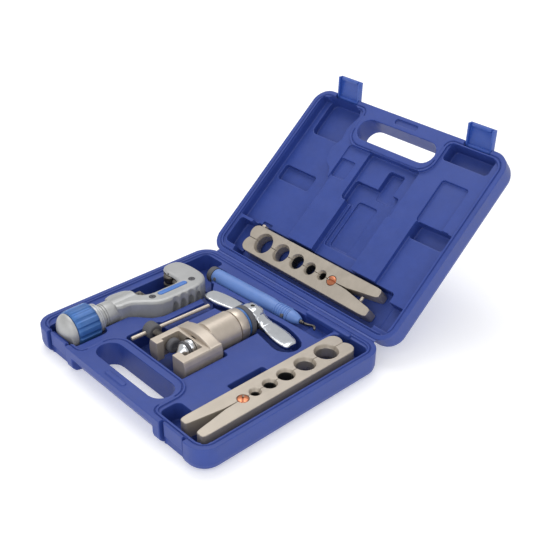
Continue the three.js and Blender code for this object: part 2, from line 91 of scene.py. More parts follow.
# ---- Shader groups ------------------------------------------------------------------------------
class Graph:
    """A short hand for building a node tree."""

    def __init__(self, tree: bpy.types.NodeTree) -> None:
        """Keep the tree.

        Args:
            tree: The node tree to build in.
        """
        self.tree = tree

    def add(self, kind: str, values: dict | None = None, **settings: object) -> bpy.types.Node:
        """Add a node, set its properties and feed its inputs.

        Args:
            kind: The node's type name.
            values: Input name or number to a value, or to the socket that feeds it.
            settings: Properties of the node.

        Returns:
            The new node.
        """
        node = self.tree.nodes.new(kind)
        for key, value in settings.items():
            setattr(node, key, value)
        for key, value in (values or {}).items():
            socket = node.inputs[key]
            if isinstance(value, bpy.types.NodeSocket):
                self.tree.links.new(value, socket)
            else:
                socket.default_value = value
        return node

    def maths(self, operation: str, *terms: object) -> bpy.types.NodeSocket:
        """Add a Math node.

        Args:
            operation: The node's operation.
            terms: Its inputs in order, as numbers or sockets.

        Returns:
            The node's result.
        """
        return self.add("ShaderNodeMath", dict(enumerate(terms)), operation=operation).outputs[0]

    def spread(self, value: object, low: float, high: float, to_low: float,
               to_high: float) -> bpy.types.NodeSocket:
        """Map a value from one range to another, clamped.

        Args:
            value: The socket to map.
            low: Start of the range it comes from.
            high: End of the range it comes from.
            to_low: Start of the range it goes to.
            to_high: End of the range it goes to.

        Returns:
            The mapped value.
        """
        terms = {"Value": value, "From Min": low, "From Max": high, "To Min": to_low,
                 "To Max": to_high}
        return self.add("ShaderNodeMapRange", terms).outputs["Result"]

    def mix(self, share: object, first: object, second: object) -> bpy.types.NodeSocket:
        """Mix two colours.

        Args:
            share: How much of the second colour shows.
            first: The colour at a share of 0.
            second: The colour at a share of 1.

        Returns:
            The mixed colour.
        """
        node = self.add("ShaderNodeMix", None, data_type="RGBA")
        for index, value in ((0, share), (6, first), (7, second)):
            if isinstance(value, bpy.types.NodeSocket):
                self.tree.links.new(value, node.inputs[index])
            else:
                node.inputs[index].default_value = value
        return node.outputs[2]


def open_group(name: str, inputs: dict[str, float], outputs: Sequence[str]
               ) -> tuple[Graph, bpy.types.Node, bpy.types.Node]:
    """Start a shader group with named inputs and outputs.

    Args:
        name: The group's name.
        inputs: Input names with their default values.
        outputs: Output names.

    Returns:
        The group's graph, its input node and its output node.
    """
    tree = bpy.data.node_groups.new(name, "ShaderNodeTree")
    for label, value in inputs.items():
        made = tree.interface.new_socket(label, in_out="INPUT", socket_type="NodeSocketFloat")
        made.default_value = value
    for label in outputs:
        tree.interface.new_socket(label, in_out="OUTPUT", socket_type="NodeSocketFloat")
    graph = Graph(tree)
    return graph, graph.add("NodeGroupInput"), graph.add("NodeGroupOutput")


def stretched(graph: Graph, source: bpy.types.Node, scale: object) -> bpy.types.NodeSocket:
    """Object coordinates times a scale and the group's own Stretch inputs.

    Args:
        graph: The group's graph.
        source: The group's input node.
        scale: The scale socket.

    Returns:
        The coordinates.
    """
    place = graph.add("ShaderNodeTexCoord").outputs["Object"]
    stretch = graph.add("ShaderNodeCombineXYZ", {
        axis: source.outputs[f"Stretch {axis}"] for axis in "XYZ"}).outputs[0]
    squeezed = graph.add("ShaderNodeVectorMath", {0: place, 1: stretch},
                         operation="MULTIPLY").outputs[0]
    return graph.add("ShaderNodeVectorMath", {0: squeezed, "Scale": scale},
                     operation="SCALE").outputs[0]


def grain_group() -> bpy.types.NodeTree:
    """Moulded or cast grain: a fine height and a broad change of tone.

    Returns:
        The group.
    """
    graph, source, sink = open_group("grain", {"Scale": 2500.0, "Patch": 40.0},
                                     ("Height", "Tone"))
    place = graph.add("ShaderNodeTexCoord").outputs["Object"]
    fine = graph.add("ShaderNodeTexNoise", {"Vector": place, "Scale": source.outputs["Scale"],
                                            "Detail": 3.0, "Roughness": 0.6})
    cells = graph.add("ShaderNodeTexVoronoi", {"Vector": place,
                                               "Scale": source.outputs["Scale"]})
    broad = graph.add("ShaderNodeTexNoise", {"Vector": place, "Scale": source.outputs["Patch"],
                                             "Detail": 4.0})
    height = graph.maths("ADD", fine.outputs[0], graph.maths("MULTIPLY", cells.outputs[0], 0.5))
    graph.tree.links.new(height, sink.inputs["Height"])
    graph.tree.links.new(broad.outputs[0], sink.inputs["Tone"])
    return graph.tree


def wear_and_shade_group() -> bpy.types.NodeTree:
    """Wear on edges, and painted shade with some grime darkening concave corners, broken up so that
    neither is even.

    Returns:
        The group.
    """
    graph, source, sink = open_group("edge_wear_and_corner_shade", {"Amount": 0.5, "Patch": 300.0},
                                     ("Edge", "Corner"))
    point = graph.add("ShaderNodeNewGeometry").outputs["Pointiness"]
    place = graph.add("ShaderNodeTexCoord").outputs["Object"]
    broken = graph.add("ShaderNodeTexNoise", {"Vector": place, "Scale": source.outputs["Patch"],
                                              "Detail": 5.0}).outputs[0]
    uneven = graph.spread(broken, 0.35, 0.65, 0.35, 1.0)
    edge = graph.maths("MULTIPLY", graph.spread(point, 0.51, 0.6, 0.0, 1.0), uneven)
    # Concave corners, where pointiness is low, take painted shade with some grime.
    corner = graph.maths("MULTIPLY", graph.spread(point, 0.49, 0.4, 0.0, 1.0), uneven)
    amount = source.outputs["Amount"]
    graph.tree.links.new(graph.maths("MULTIPLY", edge, amount), sink.inputs["Edge"])
    graph.tree.links.new(graph.maths("MULTIPLY", corner, amount), sink.inputs["Corner"])
    return graph.tree


def brush_group() -> bpy.types.NodeTree:
    """Brushing or turning lines, as a height and a tone, stretched along the lay.

    Returns:
        The group.
    """
    graph, source, sink = open_group(
        "brush_lines", {"Scale": 1500.0, "Stretch X": 1.0, "Stretch Y": 1.0, "Stretch Z": 1.0},
        ("Height", "Tone"))
    fine = graph.add("ShaderNodeTexNoise", {
        "Vector": stretched(graph, source, source.outputs["Scale"]), "Scale": 1.0,
        "Detail": 4.0, "Roughness": 0.65})
    slow = graph.maths("MULTIPLY", source.outputs["Scale"], 0.12)
    broad = graph.add("ShaderNodeTexNoise", {"Vector": stretched(graph, source, slow),
                                             "Scale": 1.0, "Detail": 2.0})
    graph.tree.links.new(fine.outputs[0], sink.inputs["Height"])
    graph.tree.links.new(broad.outputs[0], sink.inputs["Tone"])
    return graph.tree


def dust_group() -> bpy.types.NodeTree:
    """A thin film of dust on the faces that look up.

    Returns:
        The group.
    """
    graph, source, sink = open_group("dust", {"Amount": 0.1}, ("Mask",))
    normal = graph.add("ShaderNodeNewGeometry").outputs["Normal"]
    upward = graph.add("ShaderNodeSeparateXYZ", {0: normal}).outputs["Z"]
    place = graph.add("ShaderNodeTexCoord").outputs["Object"]
    cloud = graph.add("ShaderNodeTexNoise", {"Vector": place, "Scale": 60.0,
                                             "Detail": 6.0}).outputs[0]
    film = graph.maths("MULTIPLY", graph.spread(upward, 0.3, 1.0, 0.0, 1.0),
                       graph.spread(cloud, 0.4, 0.7, 0.0, 1.0))
    graph.tree.links.new(graph.maths("MULTIPLY", film, source.outputs["Amount"]),
                         sink.inputs["Mask"])
    return graph.tree


class Effects:
    """The shared shader groups, each built once."""

    def __init__(self) -> None:
        """Build every group."""
        self.grain = grain_group()
        self.wear_and_shade = wear_and_shade_group()
        self.brush = brush_group()
        self.dust = dust_group()

    @staticmethod
    def put(graph: Graph, tree: bpy.types.NodeTree, values: dict[str, float]) -> bpy.types.Node:
        """Place a group in a material.

        Args:
            graph: The material's graph.
            tree: The group.
            values: The group's inputs.

        Returns:
            The group node.
        """
        node = graph.add("ShaderNodeGroup", None, node_tree=tree)
        for label, value in values.items():
            node.inputs[label].default_value = value
        return node


def linear(colour: Colour) -> tuple[float, float, float, float]:
    """A display colour of 0 to 255 as a linear one.

    Args:
        colour: Red, green and blue.

    Returns:
        Linear red, green, blue and an alpha of 1.
    """
    def channel(value: float) -> float:
        """One channel of it.

        Args:
            value: The channel as displayed.

        Returns:
            The channel, linear.
        """
        share = value / 255.0
        return share / 12.92 if share <= 0.04045 else ((share + 0.055) / 1.055) ** 2.4
    return (*(channel(value) for value in colour), 1.0)


@dataclass(frozen=True)
class Finish:
    """A surface: its colour, gloss, and how strongly each effect shows."""

    name: str
    colour: Colour
    roughness: float
    slot: Slot
    metallic: float = 0.0
    coat: float = 0.0
    shade: float = 0.08
    grain_scale: float = 2500.0
    grain_depth: float = 0.03
    lay: Lay = Lay.NONE
    brush: float = 0.0
    brush_scale: float = 1500.0
    wear_and_shade: float = 0.3
    worn: Colour = (200, 200, 205)
    # Colour of concave corners: painted shade of the hollows, with some grime.
    grime_and_shade: Colour = (25, 24, 24)
    dust: float = 0.08
    specular: float = 0.5

    def material(self, effects: Effects) -> bpy.types.Material:
        """Build the finish as a material, once.

        Args:
            effects: The shared shader groups.

        Returns:
            The material.
        """
        known = bpy.data.materials.get(self.name)
        if known:
            return known
        made = bpy.data.materials.new(self.name)
        made.use_nodes = True
        graph = Graph(made.node_tree)
        shader = made.node_tree.nodes["Principled BSDF"]
        shader.inputs["Metallic"].default_value = self.metallic
        shader.inputs["Coat Weight"].default_value = self.coat
        shader.inputs["Coat Roughness"].default_value = 0.12
        shader.inputs["Specular IOR Level"].default_value = self.specular
        grain = effects.put(graph, effects.grain, {"Scale": self.grain_scale})
        wear_and_shade = effects.put(graph, effects.wear_and_shade, {"Amount": self.wear_and_shade})
        film = effects.put(graph, effects.dust, {"Amount": self.dust})
        stretch = dict(zip(("Stretch X", "Stretch Y", "Stretch Z"), self.lay.value))
        lines = effects.put(graph, effects.brush, {"Scale": self.brush_scale, **stretch})
        base = linear(self.colour)
        deep = tuple(value * (1.0 - self.shade) for value in base[:3]) + (1.0,)
        bright = tuple(min(1.0, value * (1.0 + self.shade)) for value in base[:3]) + (1.0,)
        tone = graph.maths("ADD", graph.maths("MULTIPLY", grain.outputs["Tone"], 0.6),
                           graph.maths("MULTIPLY", lines.outputs["Tone"], 0.4))
        body = graph.mix(graph.spread(tone, 0.35, 0.65, 0.0, 1.0), deep, bright)
        # Concave corners darken here as painted shade with some grime; convex edges lighten as
        # wear.
        body = graph.mix(wear_and_shade.outputs["Corner"], body, linear(self.grime_and_shade))
        body = graph.mix(wear_and_shade.outputs["Edge"], body, linear(self.worn))
        body = graph.mix(film.outputs["Mask"], body, linear((205, 203, 198)))
        gloss = graph.spread(tone, 0.3, 0.7, max(0.03, self.roughness - 0.06),
                             self.roughness + 0.06)
        gloss = graph.maths("ADD", gloss, graph.maths("MULTIPLY", film.outputs["Mask"], 0.5))
        height = graph.maths("ADD",
                             graph.maths("MULTIPLY", grain.outputs["Height"], self.grain_depth),
                             graph.maths("MULTIPLY", lines.outputs["Height"], self.brush))
        bump = graph.add("ShaderNodeBump", {"Height": height, "Strength": 1.0,
                                            "Distance": 0.0006})
        graph.tree.links.new(body, shader.inputs["Base Color"])
        graph.tree.links.new(gloss, shader.inputs["Roughness"])
        graph.tree.links.new(bump.outputs[0], shader.inputs["Normal"])
        return made


# The grime colours below are mostly darker shades of each finish's own colour: painted shade in
# concave corners, with some grime.
CASE_PLASTIC = Finish("case_plastic", (50, 72, 148), 0.44, Slot.CASE, shade=0.06,
                      grain_scale=1900.0, grain_depth=0.07, wear_and_shade=0.35, worn=(92, 108, 178),
                      grime_and_shade=(10, 14, 44), dust=0.015, specular=0.36)
LATCH_PLASTIC = Finish("latch_plastic", (44, 82, 172), 0.34, Slot.LATCH, shade=0.05,
                       grain_depth=0.03, wear_and_shade=0.25, worn=(120, 145, 205), grime_and_shade=(20, 28, 70),
                       dust=0.03)
NICKEL = Finish("satin_nickel", (200, 188, 174), 0.38, Slot.NICKEL, metallic=0.55, shade=0.06,
                grain_depth=0.02, lay=Lay.ALONG_X, brush=0.05, wear_and_shade=0.25,
                worn=(232, 226, 216), grime_and_shade=(70, 60, 52))
BAR_NICKEL = Finish("bar_nickel", (188, 178, 165), 0.38, Slot.NICKEL, metallic=0.62, shade=0.07,
                    grain_depth=0.03, lay=Lay.ALONG_Y, brush=0.06, wear_and_shade=0.0)
# Walls of the big holes: a bored finish, painted a little darker than the bar as shade inside the
# hole.
BORE_WITH_SHADE = Finish("bored_steel_with_shade", (172, 164, 154), 0.3, Slot.NICKEL, metallic=0.6, shade=0.1,
              grain_depth=0.01, lay=Lay.ALONG_Y, brush=0.04, wear_and_shade=0.0, dust=0.0)
# Near-black painted shade on the walls of the small holes, standing for the shade deep inside them.
PAINTED_SHADE_BORE = Finish("shaded_bore", (54, 52, 50), 0.42, Slot.NICKEL, metallic=0.6, shade=0.1,
                   grain_depth=0.01, wear_and_shade=0.0, dust=0.0)
TURNED_NICKEL = Finish("turned_nickel", (202, 190, 176), 0.32, Slot.NICKEL, metallic=0.7,
                       shade=0.06, grain_depth=0.01, lay=Lay.ROUND_Y, brush=0.07, wear_and_shade=0.2,
                       worn=(232, 226, 216), grime_and_shade=(70, 60, 52))
CHROME = Finish("polished_chrome", (214, 217, 222), 0.17, Slot.CHROME, metallic=1.0, shade=0.03,
                grain_depth=0.004, wear_and_shade=0.12, worn=(240, 240, 240), grime_and_shade=(80, 80, 84),
                dust=0.03)
CAST = Finish("die_cast", (178, 179, 179), 0.4, Slot.CAST, metallic=0.4, shade=0.05,
              grain_scale=3200.0, grain_depth=0.05, wear_and_shade=0.25, worn=(222, 222, 220),
              grime_and_shade=(96, 96, 96))
TURNED_CAST = Finish("turned_cast", (196, 197, 198), 0.34, Slot.CAST, metallic=0.5, shade=0.05,
                     grain_depth=0.02, lay=Lay.ROUND_Y, brush=0.06, wear_and_shade=0.2,
                     worn=(225, 225, 224), grime_and_shade=(96, 96, 96))
KNOB_BLUE = Finish("knob_anodise", (56, 104, 170), 0.38, Slot.KNOB, metallic=0.35, shade=0.06,
                   grain_depth=0.03, wear_and_shade=0.35, worn=(126, 164, 214), grime_and_shade=(20, 44, 88))
INLAY_BLUE = Finish("inlay_plastic", (62, 118, 200), 0.4, Slot.KNOB, shade=0.05,
                    grain_depth=0.05, wear_and_shade=0.1, worn=(120, 165, 220), grime_and_shade=(24, 58, 120))
PEN_BLUE = Finish("pen_plastic", (100, 136, 204), 0.4, Slot.PEN, shade=0.05, grain_depth=0.05,
                  wear_and_shade=0.2, worn=(160, 184, 228), grime_and_shade=(52, 76, 140))
BLACK = Finish("black_plastic", (13, 14, 15), 0.46, Slot.BLACK, shade=0.1, grain_depth=0.04,
               wear_and_shade=0.25, worn=(44, 44, 44), grime_and_shade=(6, 6, 6), dust=0.0, specular=0.28)
DARK_STEEL = Finish("oiled_steel", (88, 84, 80), 0.34, Slot.STEEL, metallic=0.9, shade=0.1,
                    grain_depth=0.02, lay=Lay.ROUND_Y, brush=0.05, wear_and_shade=0.5,
                    worn=(176, 170, 160), grime_and_shade=(30, 26, 22))
COPPER = Finish("copper_plate", (206, 128, 92), 0.26, Slot.COPPER, metallic=0.95, shade=0.08,
                grain_depth=0.02, wear_and_shade=0.2, worn=(240, 170, 130), grime_and_shade=(90, 40, 24))


# ---- Mesh making --------------------------------------------------------------------------------
def new_object(name: str, points: Sequence[Point], faces: Sequence[Sequence[int]]
               ) -> bpy.types.Object:
    """Make an object from points in millimetres.

    Args:
        name: The object's name.
        points: Vertex positions.
        faces: Vertex numbers of each face.

    Returns:
        The new object, with its normals facing out.
    """
    mesh = bpy.data.meshes.new(name)
    mesh.from_pydata([tuple(c * MM for c in p) for p in points], [], [list(f) for f in faces])
    mesh.validate()
    made = bpy.data.objects.new(name, mesh)
    bpy.context.scene.collection.objects.link(made)
    with_bmesh(made, lambda b: bmesh.ops.recalc_face_normals(b, faces=b.faces))
    return made


def with_bmesh(obj: bpy.types.Object, work: Callable[[bmesh.types.BMesh], object]) -> None:
    """Edit an object's mesh with bmesh.

    Args:
        obj: The object.
        work: What to do to its bmesh.
    """
    edit = bmesh.new()
    edit.from_mesh(obj.data)
    work(edit)
    edit.to_mesh(obj.data)
    edit.free()
    obj.data.update()


def apply_stack(obj: bpy.types.Object) -> bpy.types.Object:
    """Turn an object's modifiers into its mesh.

    Args:
        obj: The object.

    Returns:
        The same object.
    """
    bpy.context.view_layer.update()
    graph = bpy.context.evaluated_depsgraph_get()
    result = bpy.data.meshes.new_from_object(obj.evaluated_get(graph))
    obj.modifiers.clear()
    old = obj.data
    obj.data = result
    bpy.data.meshes.remove(old)
    return obj


def copy_node(node: str, name: str) -> bpy.types.Object:
    """A copy of a frame node's mesh, with its split vertices merged.

    Args:
        node: The node.
        name: The copy's name.

    Returns:
        The new object.
    """
    source = frame["nodes"][node]
    made = bpy.data.objects.new(name, source.data.copy())
    made.data.materials.clear()
    bpy.context.scene.collection.objects.link(made)
    with_bmesh(made, lambda b: bmesh.ops.remove_doubles(b, verts=b.verts, dist=1e-6))
    return made


def join(name: str, first: bpy.types.Object, *others: bpy.types.Object) -> bpy.types.Object:
    """Put several objects' meshes into the first.

    Args:
        name: The joined object's name.
        first: The object that stays.
        others: The objects that go into it.

    Returns:
        The first object.
    """
    edit = bmesh.new()
    for part in (first, *others):
        edit.from_mesh(part.data)
    edit.to_mesh(first.data)
    edit.free()
    for part in others:
        bpy.data.objects.remove(part)
    first.name = name
    return first


def smooth_shade(obj: bpy.types.Object, angle: float = 32.0) -> bpy.types.Object:
    """Shade smooth, with edges over an angle kept sharp.

    Args:
        obj: The object.
        angle: The angle in degrees.

    Returns:
        The same object.
    """
    obj.data.shade_smooth()
    obj.data.set_sharp_from_angle(angle=math.radians(angle))
    return obj


def remould(obj: bpy.types.Object, voxel: float, rounds: int, keep: float) -> bpy.types.Object:
    """Remesh a solid and ease all its edges, as a mould or a tumbler leaves them.

    Args:
        obj: The object.
        voxel: Size of the remesh in millimetres.
        rounds: How many times to smooth.
        keep: Share of the faces to keep afterwards.

    Returns:
        The same object.
    """
    remesh = obj.modifiers.new("remesh", "REMESH")
    remesh.mode = "VOXEL"
    remesh.voxel_size = voxel * MM
    ease = obj.modifiers.new("ease", "SMOOTH")
    ease.factor = 0.5
    ease.iterations = rounds
    thin = obj.modifiers.new("thin", "DECIMATE")
    thin.ratio = keep
    return smooth_shade(apply_stack(obj), 60.0)


def crisp(obj: bpy.types.Object, width: float, segments: int = 2) -> bpy.types.Object:
    """Merge flat faces and give the sharp edges a small round.

    Args:
        obj: The object.
        width: Width of the round in millimetres.
        segments: Faces across the round.

    Returns:
        The same object.
    """
    with_bmesh(obj, lambda b: bmesh.ops.dissolve_limit(
        b, angle_limit=math.radians(0.6), verts=b.verts, edges=b.edges))
    bevel = obj.modifiers.new("bevel", "BEVEL")
    bevel.width = width * MM
    bevel.segments = segments
    bevel.limit_method = "ANGLE"
    bevel.angle_limit = math.radians(38)
    return smooth_shade(apply_stack(obj), 34.0)


def pierce(solid: bpy.types.Object, *tools: bpy.types.Object) -> bpy.types.Object:
    """Cut a solid with others, which are used up.

    Args:
        solid: The solid that is cut.
        tools: The solids that cut it.

    Returns:
        The solid.
    """
    for tool in tools:
        cut = solid.modifiers.new("cut", "BOOLEAN")
        cut.operation = "DIFFERENCE"
        cut.solver = "EXACT"
        cut.object = tool
        apply_stack(solid)
        bpy.data.objects.remove(tool)
    return solid


def loft(name: str, loops: Sequence[Sequence[Point]], ring: bool = False) -> bpy.types.Object:
    """Join closed loops of equal length into a capped solid.

    Args:
        name: The object's name.
        loops: The loops, in order.
        ring: Join the last loop to the first instead of capping both.

    Returns:
        The new object.
    """
    count = len(loops[0])
    points = [point for loop in loops for point in loop]
    faces = [
        (row * count + i, row * count + (i + 1) % count,
         (row + 1) * count + (i + 1) % count, (row + 1) * count + i)
        for row in range(len(loops) - 1) for i in range(count)
    ]
    last = (len(loops) - 1) * count
    if ring:
        faces += [(last + i, last + (i + 1) % count, (i + 1) % count, i) for i in range(count)]
    else:
        faces.append(tuple(reversed(range(count))))
        faces.append(tuple(range(last, last + count)))
    made = new_object(name, points, faces)
    with_bmesh(made, lambda b: bmesh.ops.triangulate(
        b, faces=[f for f in b.faces if len(f.verts) > 4], ngon_method="EAR_CLIP"))
    return smooth_shade(made)


def lathe(name: str, profile: Profile, centre: Flat = (0.0, 0.0), steps: int = 64,
          radius: Callable[[float, float], float] | None = None) -> bpy.types.Object:
    """Turn a profile of (radius, Y) about an axis along Y.

    Args:
        name: The object's name.
        profile: The profile, from one end of the axis to the other. A profile that starts off
            the axis makes a ring.
        centre: X and Z of the axis.
        steps: Faces round the axis.
        radius: Optional change of the radius, from the radius and the angle.

    Returns:
        The new object.
    """
    loops = []
    for r, y in profile:
        loop = []
        for i in range(steps):
            turn = 2 * math.pi * i / steps
            at = radius(r, turn) if radius else r
            at = max(at, 0.01)
            loop.append((centre[0] + at * math.cos(turn), y, centre[1] + at * math.sin(turn)))
        loops.append(loop)
    return loft(name, loops, profile[0][0] > 0)


def eased(profile: Profile, ease: float = 0.5) -> list[Flat]:
    """Cut every inner corner of a profile with a small two-point round.

    Args:
        profile: The profile's points.
        ease: How far from each corner the round starts, in millimetres.

    Returns:
        The profile with more points.
    """
    out = [profile[0]]
    for before, here, after in zip(profile, profile[1:], profile[2:]):
        a = Vector(here) - Vector(before)
        b = Vector(after) - Vector(here)
        first = Vector(here) - a.normalized() * min(ease, a.length * 0.45)
        second = Vector(here) + b.normalized() * min(ease, b.length * 0.45)
        middle = (first + second) * 0.25 + Vector(here) * 0.5
        out += [tuple(first), tuple(middle), tuple(second)]
    return [*out, profile[-1]]


def prism(name: str, outline: Sequence[Flat], low: float, high: float, ease: float = 0.5
          ) -> bpy.types.Object:
    """Raise an outline and round its edges.

    Args:
        name: The object's name.
        outline: Its corners, in order.
        low: Height of the bottom.
        high: Height of the top.
        ease: Width of the rounded edges in millimetres.

    Returns:
        The new object.
    """
    made = loft(name, [[(x, y, z) for x, y in outline] for z in (low, high)])
    return crisp(made, ease) if ease else made


def stadium(x0: float, x1: float, y0: float, y1: float, steps: int = 10) -> list[Flat]:
    """A rectangle with round ends along X.

    Args:
        x0: Left end.
        x1: Right end.
        y0: Near side.
        y1: Far side.
        steps: Points on each end.

    Returns:
        The outline.
    """
    r = (y1 - y0) / 2
    middle = (y0 + y1) / 2
    right = [(x1 - r + r * math.sin(math.pi * i / steps),
              middle - r * math.cos(math.pi * i / steps)) for i in range(steps + 1)]
    left = [(x0 + r - r * math.sin(math.pi * i / steps),
             middle + r * math.cos(math.pi * i / steps)) for i in range(steps + 1)]
    return right + left


def move(obj: bpy.types.Object, matrix: Matrix) -> bpy.types.Object:
    """Move an object's mesh, leaving the object at the origin.

    Args:
        obj: The object.
        matrix: The move, in metres.

    Returns:
        The same object.
    """
    obj.data.transform(matrix)
    obj.data.update()
    return obj


def shift(x: float, y: float, z: float) -> Matrix:
    """A move by millimetres.

    Args:
        x: Distance along X.
        y: Distance along Y.
        z: Distance along Z.

    Returns:
        The matrix of the move.
    """
    return Matrix.Translation((x * MM, y * MM, z * MM))


def centre_of(node: str) -> Vector:
    """The middle of a node's box.

    Args:
        node: The node.

    Returns:
        The middle, in millimetres.
    """
    low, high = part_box(node)
    return (low + high) / 2 / MM


def joint(name: str) -> dict:
    """A joint of the record.

    Args:
        name: Its name.

    Returns:
        The joint's entry.
    """
    return next(j for j in frame["record"]["behaviour"]["joints"] if j["name"] == name)


# ---- Sub-assemblies -----------------------------------------------------------------------------
@dataclass
class Assembly:
    """Pieces that are built and dressed together."""

    effects: Effects
    pieces: list[bpy.types.Object] = field(default_factory=list)

    def seat(self, piece: bpy.types.Object, finish: Finish, body: str, *nodes: str) -> None:
        """Dress a piece, hide the frame nodes it stands for, and let it ride on its body.

        Args:
            piece: The piece.
            finish: Its finish.
            body: The body that carries it.
            nodes: The frame nodes it stands for.
        """
        if not piece.data.materials:
            piece.data.materials.append(finish.material(self.effects))
        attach(piece, body)
        if nodes:
            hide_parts(*nodes)
        self.pieces.append(piece)
        LOG.info("%s on %s, %d faces", piece.name, body, len(piece.data.polygons))


@dataclass
class Case(Assembly):
    """The moulded case: tray, lid, hinge strip and latches."""

    voxel: float = 0.52
    rounds: int = 2
    keep: float = 0.16
    rim: float = 24.0

    def hinge(self) -> Matrix:
        """The turn that opens a lid drawn closed.

        Returns:
            The matrix in metres.
        """
        at = Matrix.Translation(Vector(joint("lid_hinge")["pos_m"]))
        return at @ Matrix.Rotation(math.radians(-140.0), 4, "X") @ at.inverted()

    def build_tray(self) -> None:
        """The base, with the pad behind the handle and the ridge beside the pen."""
        tray = copy_node("base_tray", "tray_blank")
        pad = prism("pad", stadium(-13, 13, -97.6, -92.8), self.rim - 3, self.rim + 1.3, 0.0)
        ridge = prism("ridge", stadium(34, 88, 89.5, 94.0), self.rim - 4, self.rim + 0.9, 0.0)
        tray = join("tray_moulding", tray, pad, ridge)
        remould(tray, self.voxel, self.rounds, self.keep)
        self.seat(tray, CASE_PLASTIC, "case_base", "base_tray")

    def build_lid(self) -> None:
        """The lid, with the slot that takes the tray's pad."""
        turn = self.hinge()
        lid = move(copy_node("case_lid", "lid_moulding"), turn.inverted())
        slot = prism("pad_slot", stadium(-14, 14, -98.2, -92.2), self.rim - 1, self.rim + 2.4,
                     0.0)
        pierce(lid, slot)
        remould(lid, self.voxel, self.rounds, self.keep)
        self.seat(move(lid, turn), CASE_PLASTIC, "lid", "case_lid")

    def build_strip(self) -> None:
        """The flexing web between the two rims, creased along its middle."""
        low, high = (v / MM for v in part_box("hinge_strip"))
        turn = self.hinge()
        near = [(self.rim - 3.2, low.y - 0.5), (self.rim - 0.5, low.y + 0.2)]
        far = turn @ (Vector((0, 103.1 - 1.7, self.rim + 1.2)) * MM) / MM
        path = [near[0], near[1], (self.rim - 0.1, 103.0), (far.z, far.y)]
        profile = [(y, z) for z, y in path]
        under = [(y + 0.35, z - 0.75) for y, z in reversed(profile)]
        section = profile + under
        steps = 9
        loops = [[(low.x + (high.x - low.x) * i / steps, y, z) for y, z in section]
                 for i in range(steps + 1)]
        strip = loft("hinge_web", loops)
        self.seat(strip, CASE_PLASTIC, "case_base", "hinge_strip")

    def build_latches(self) -> None:
        """Both latches, copied from the frame with their edges rounded."""
        for side in ("left", "right"):
            latch = crisp(copy_node(f"latch_{side}", f"latch_{side}_hook"), 0.45)
            self.seat(latch, LATCH_PLASTIC, f"latch_{side}", f"latch_{side}")

    def build(self) -> None:
        """Build the whole case."""
        self.build_tray()
        self.build_lid()
        self.build_strip()
        self.build_latches()


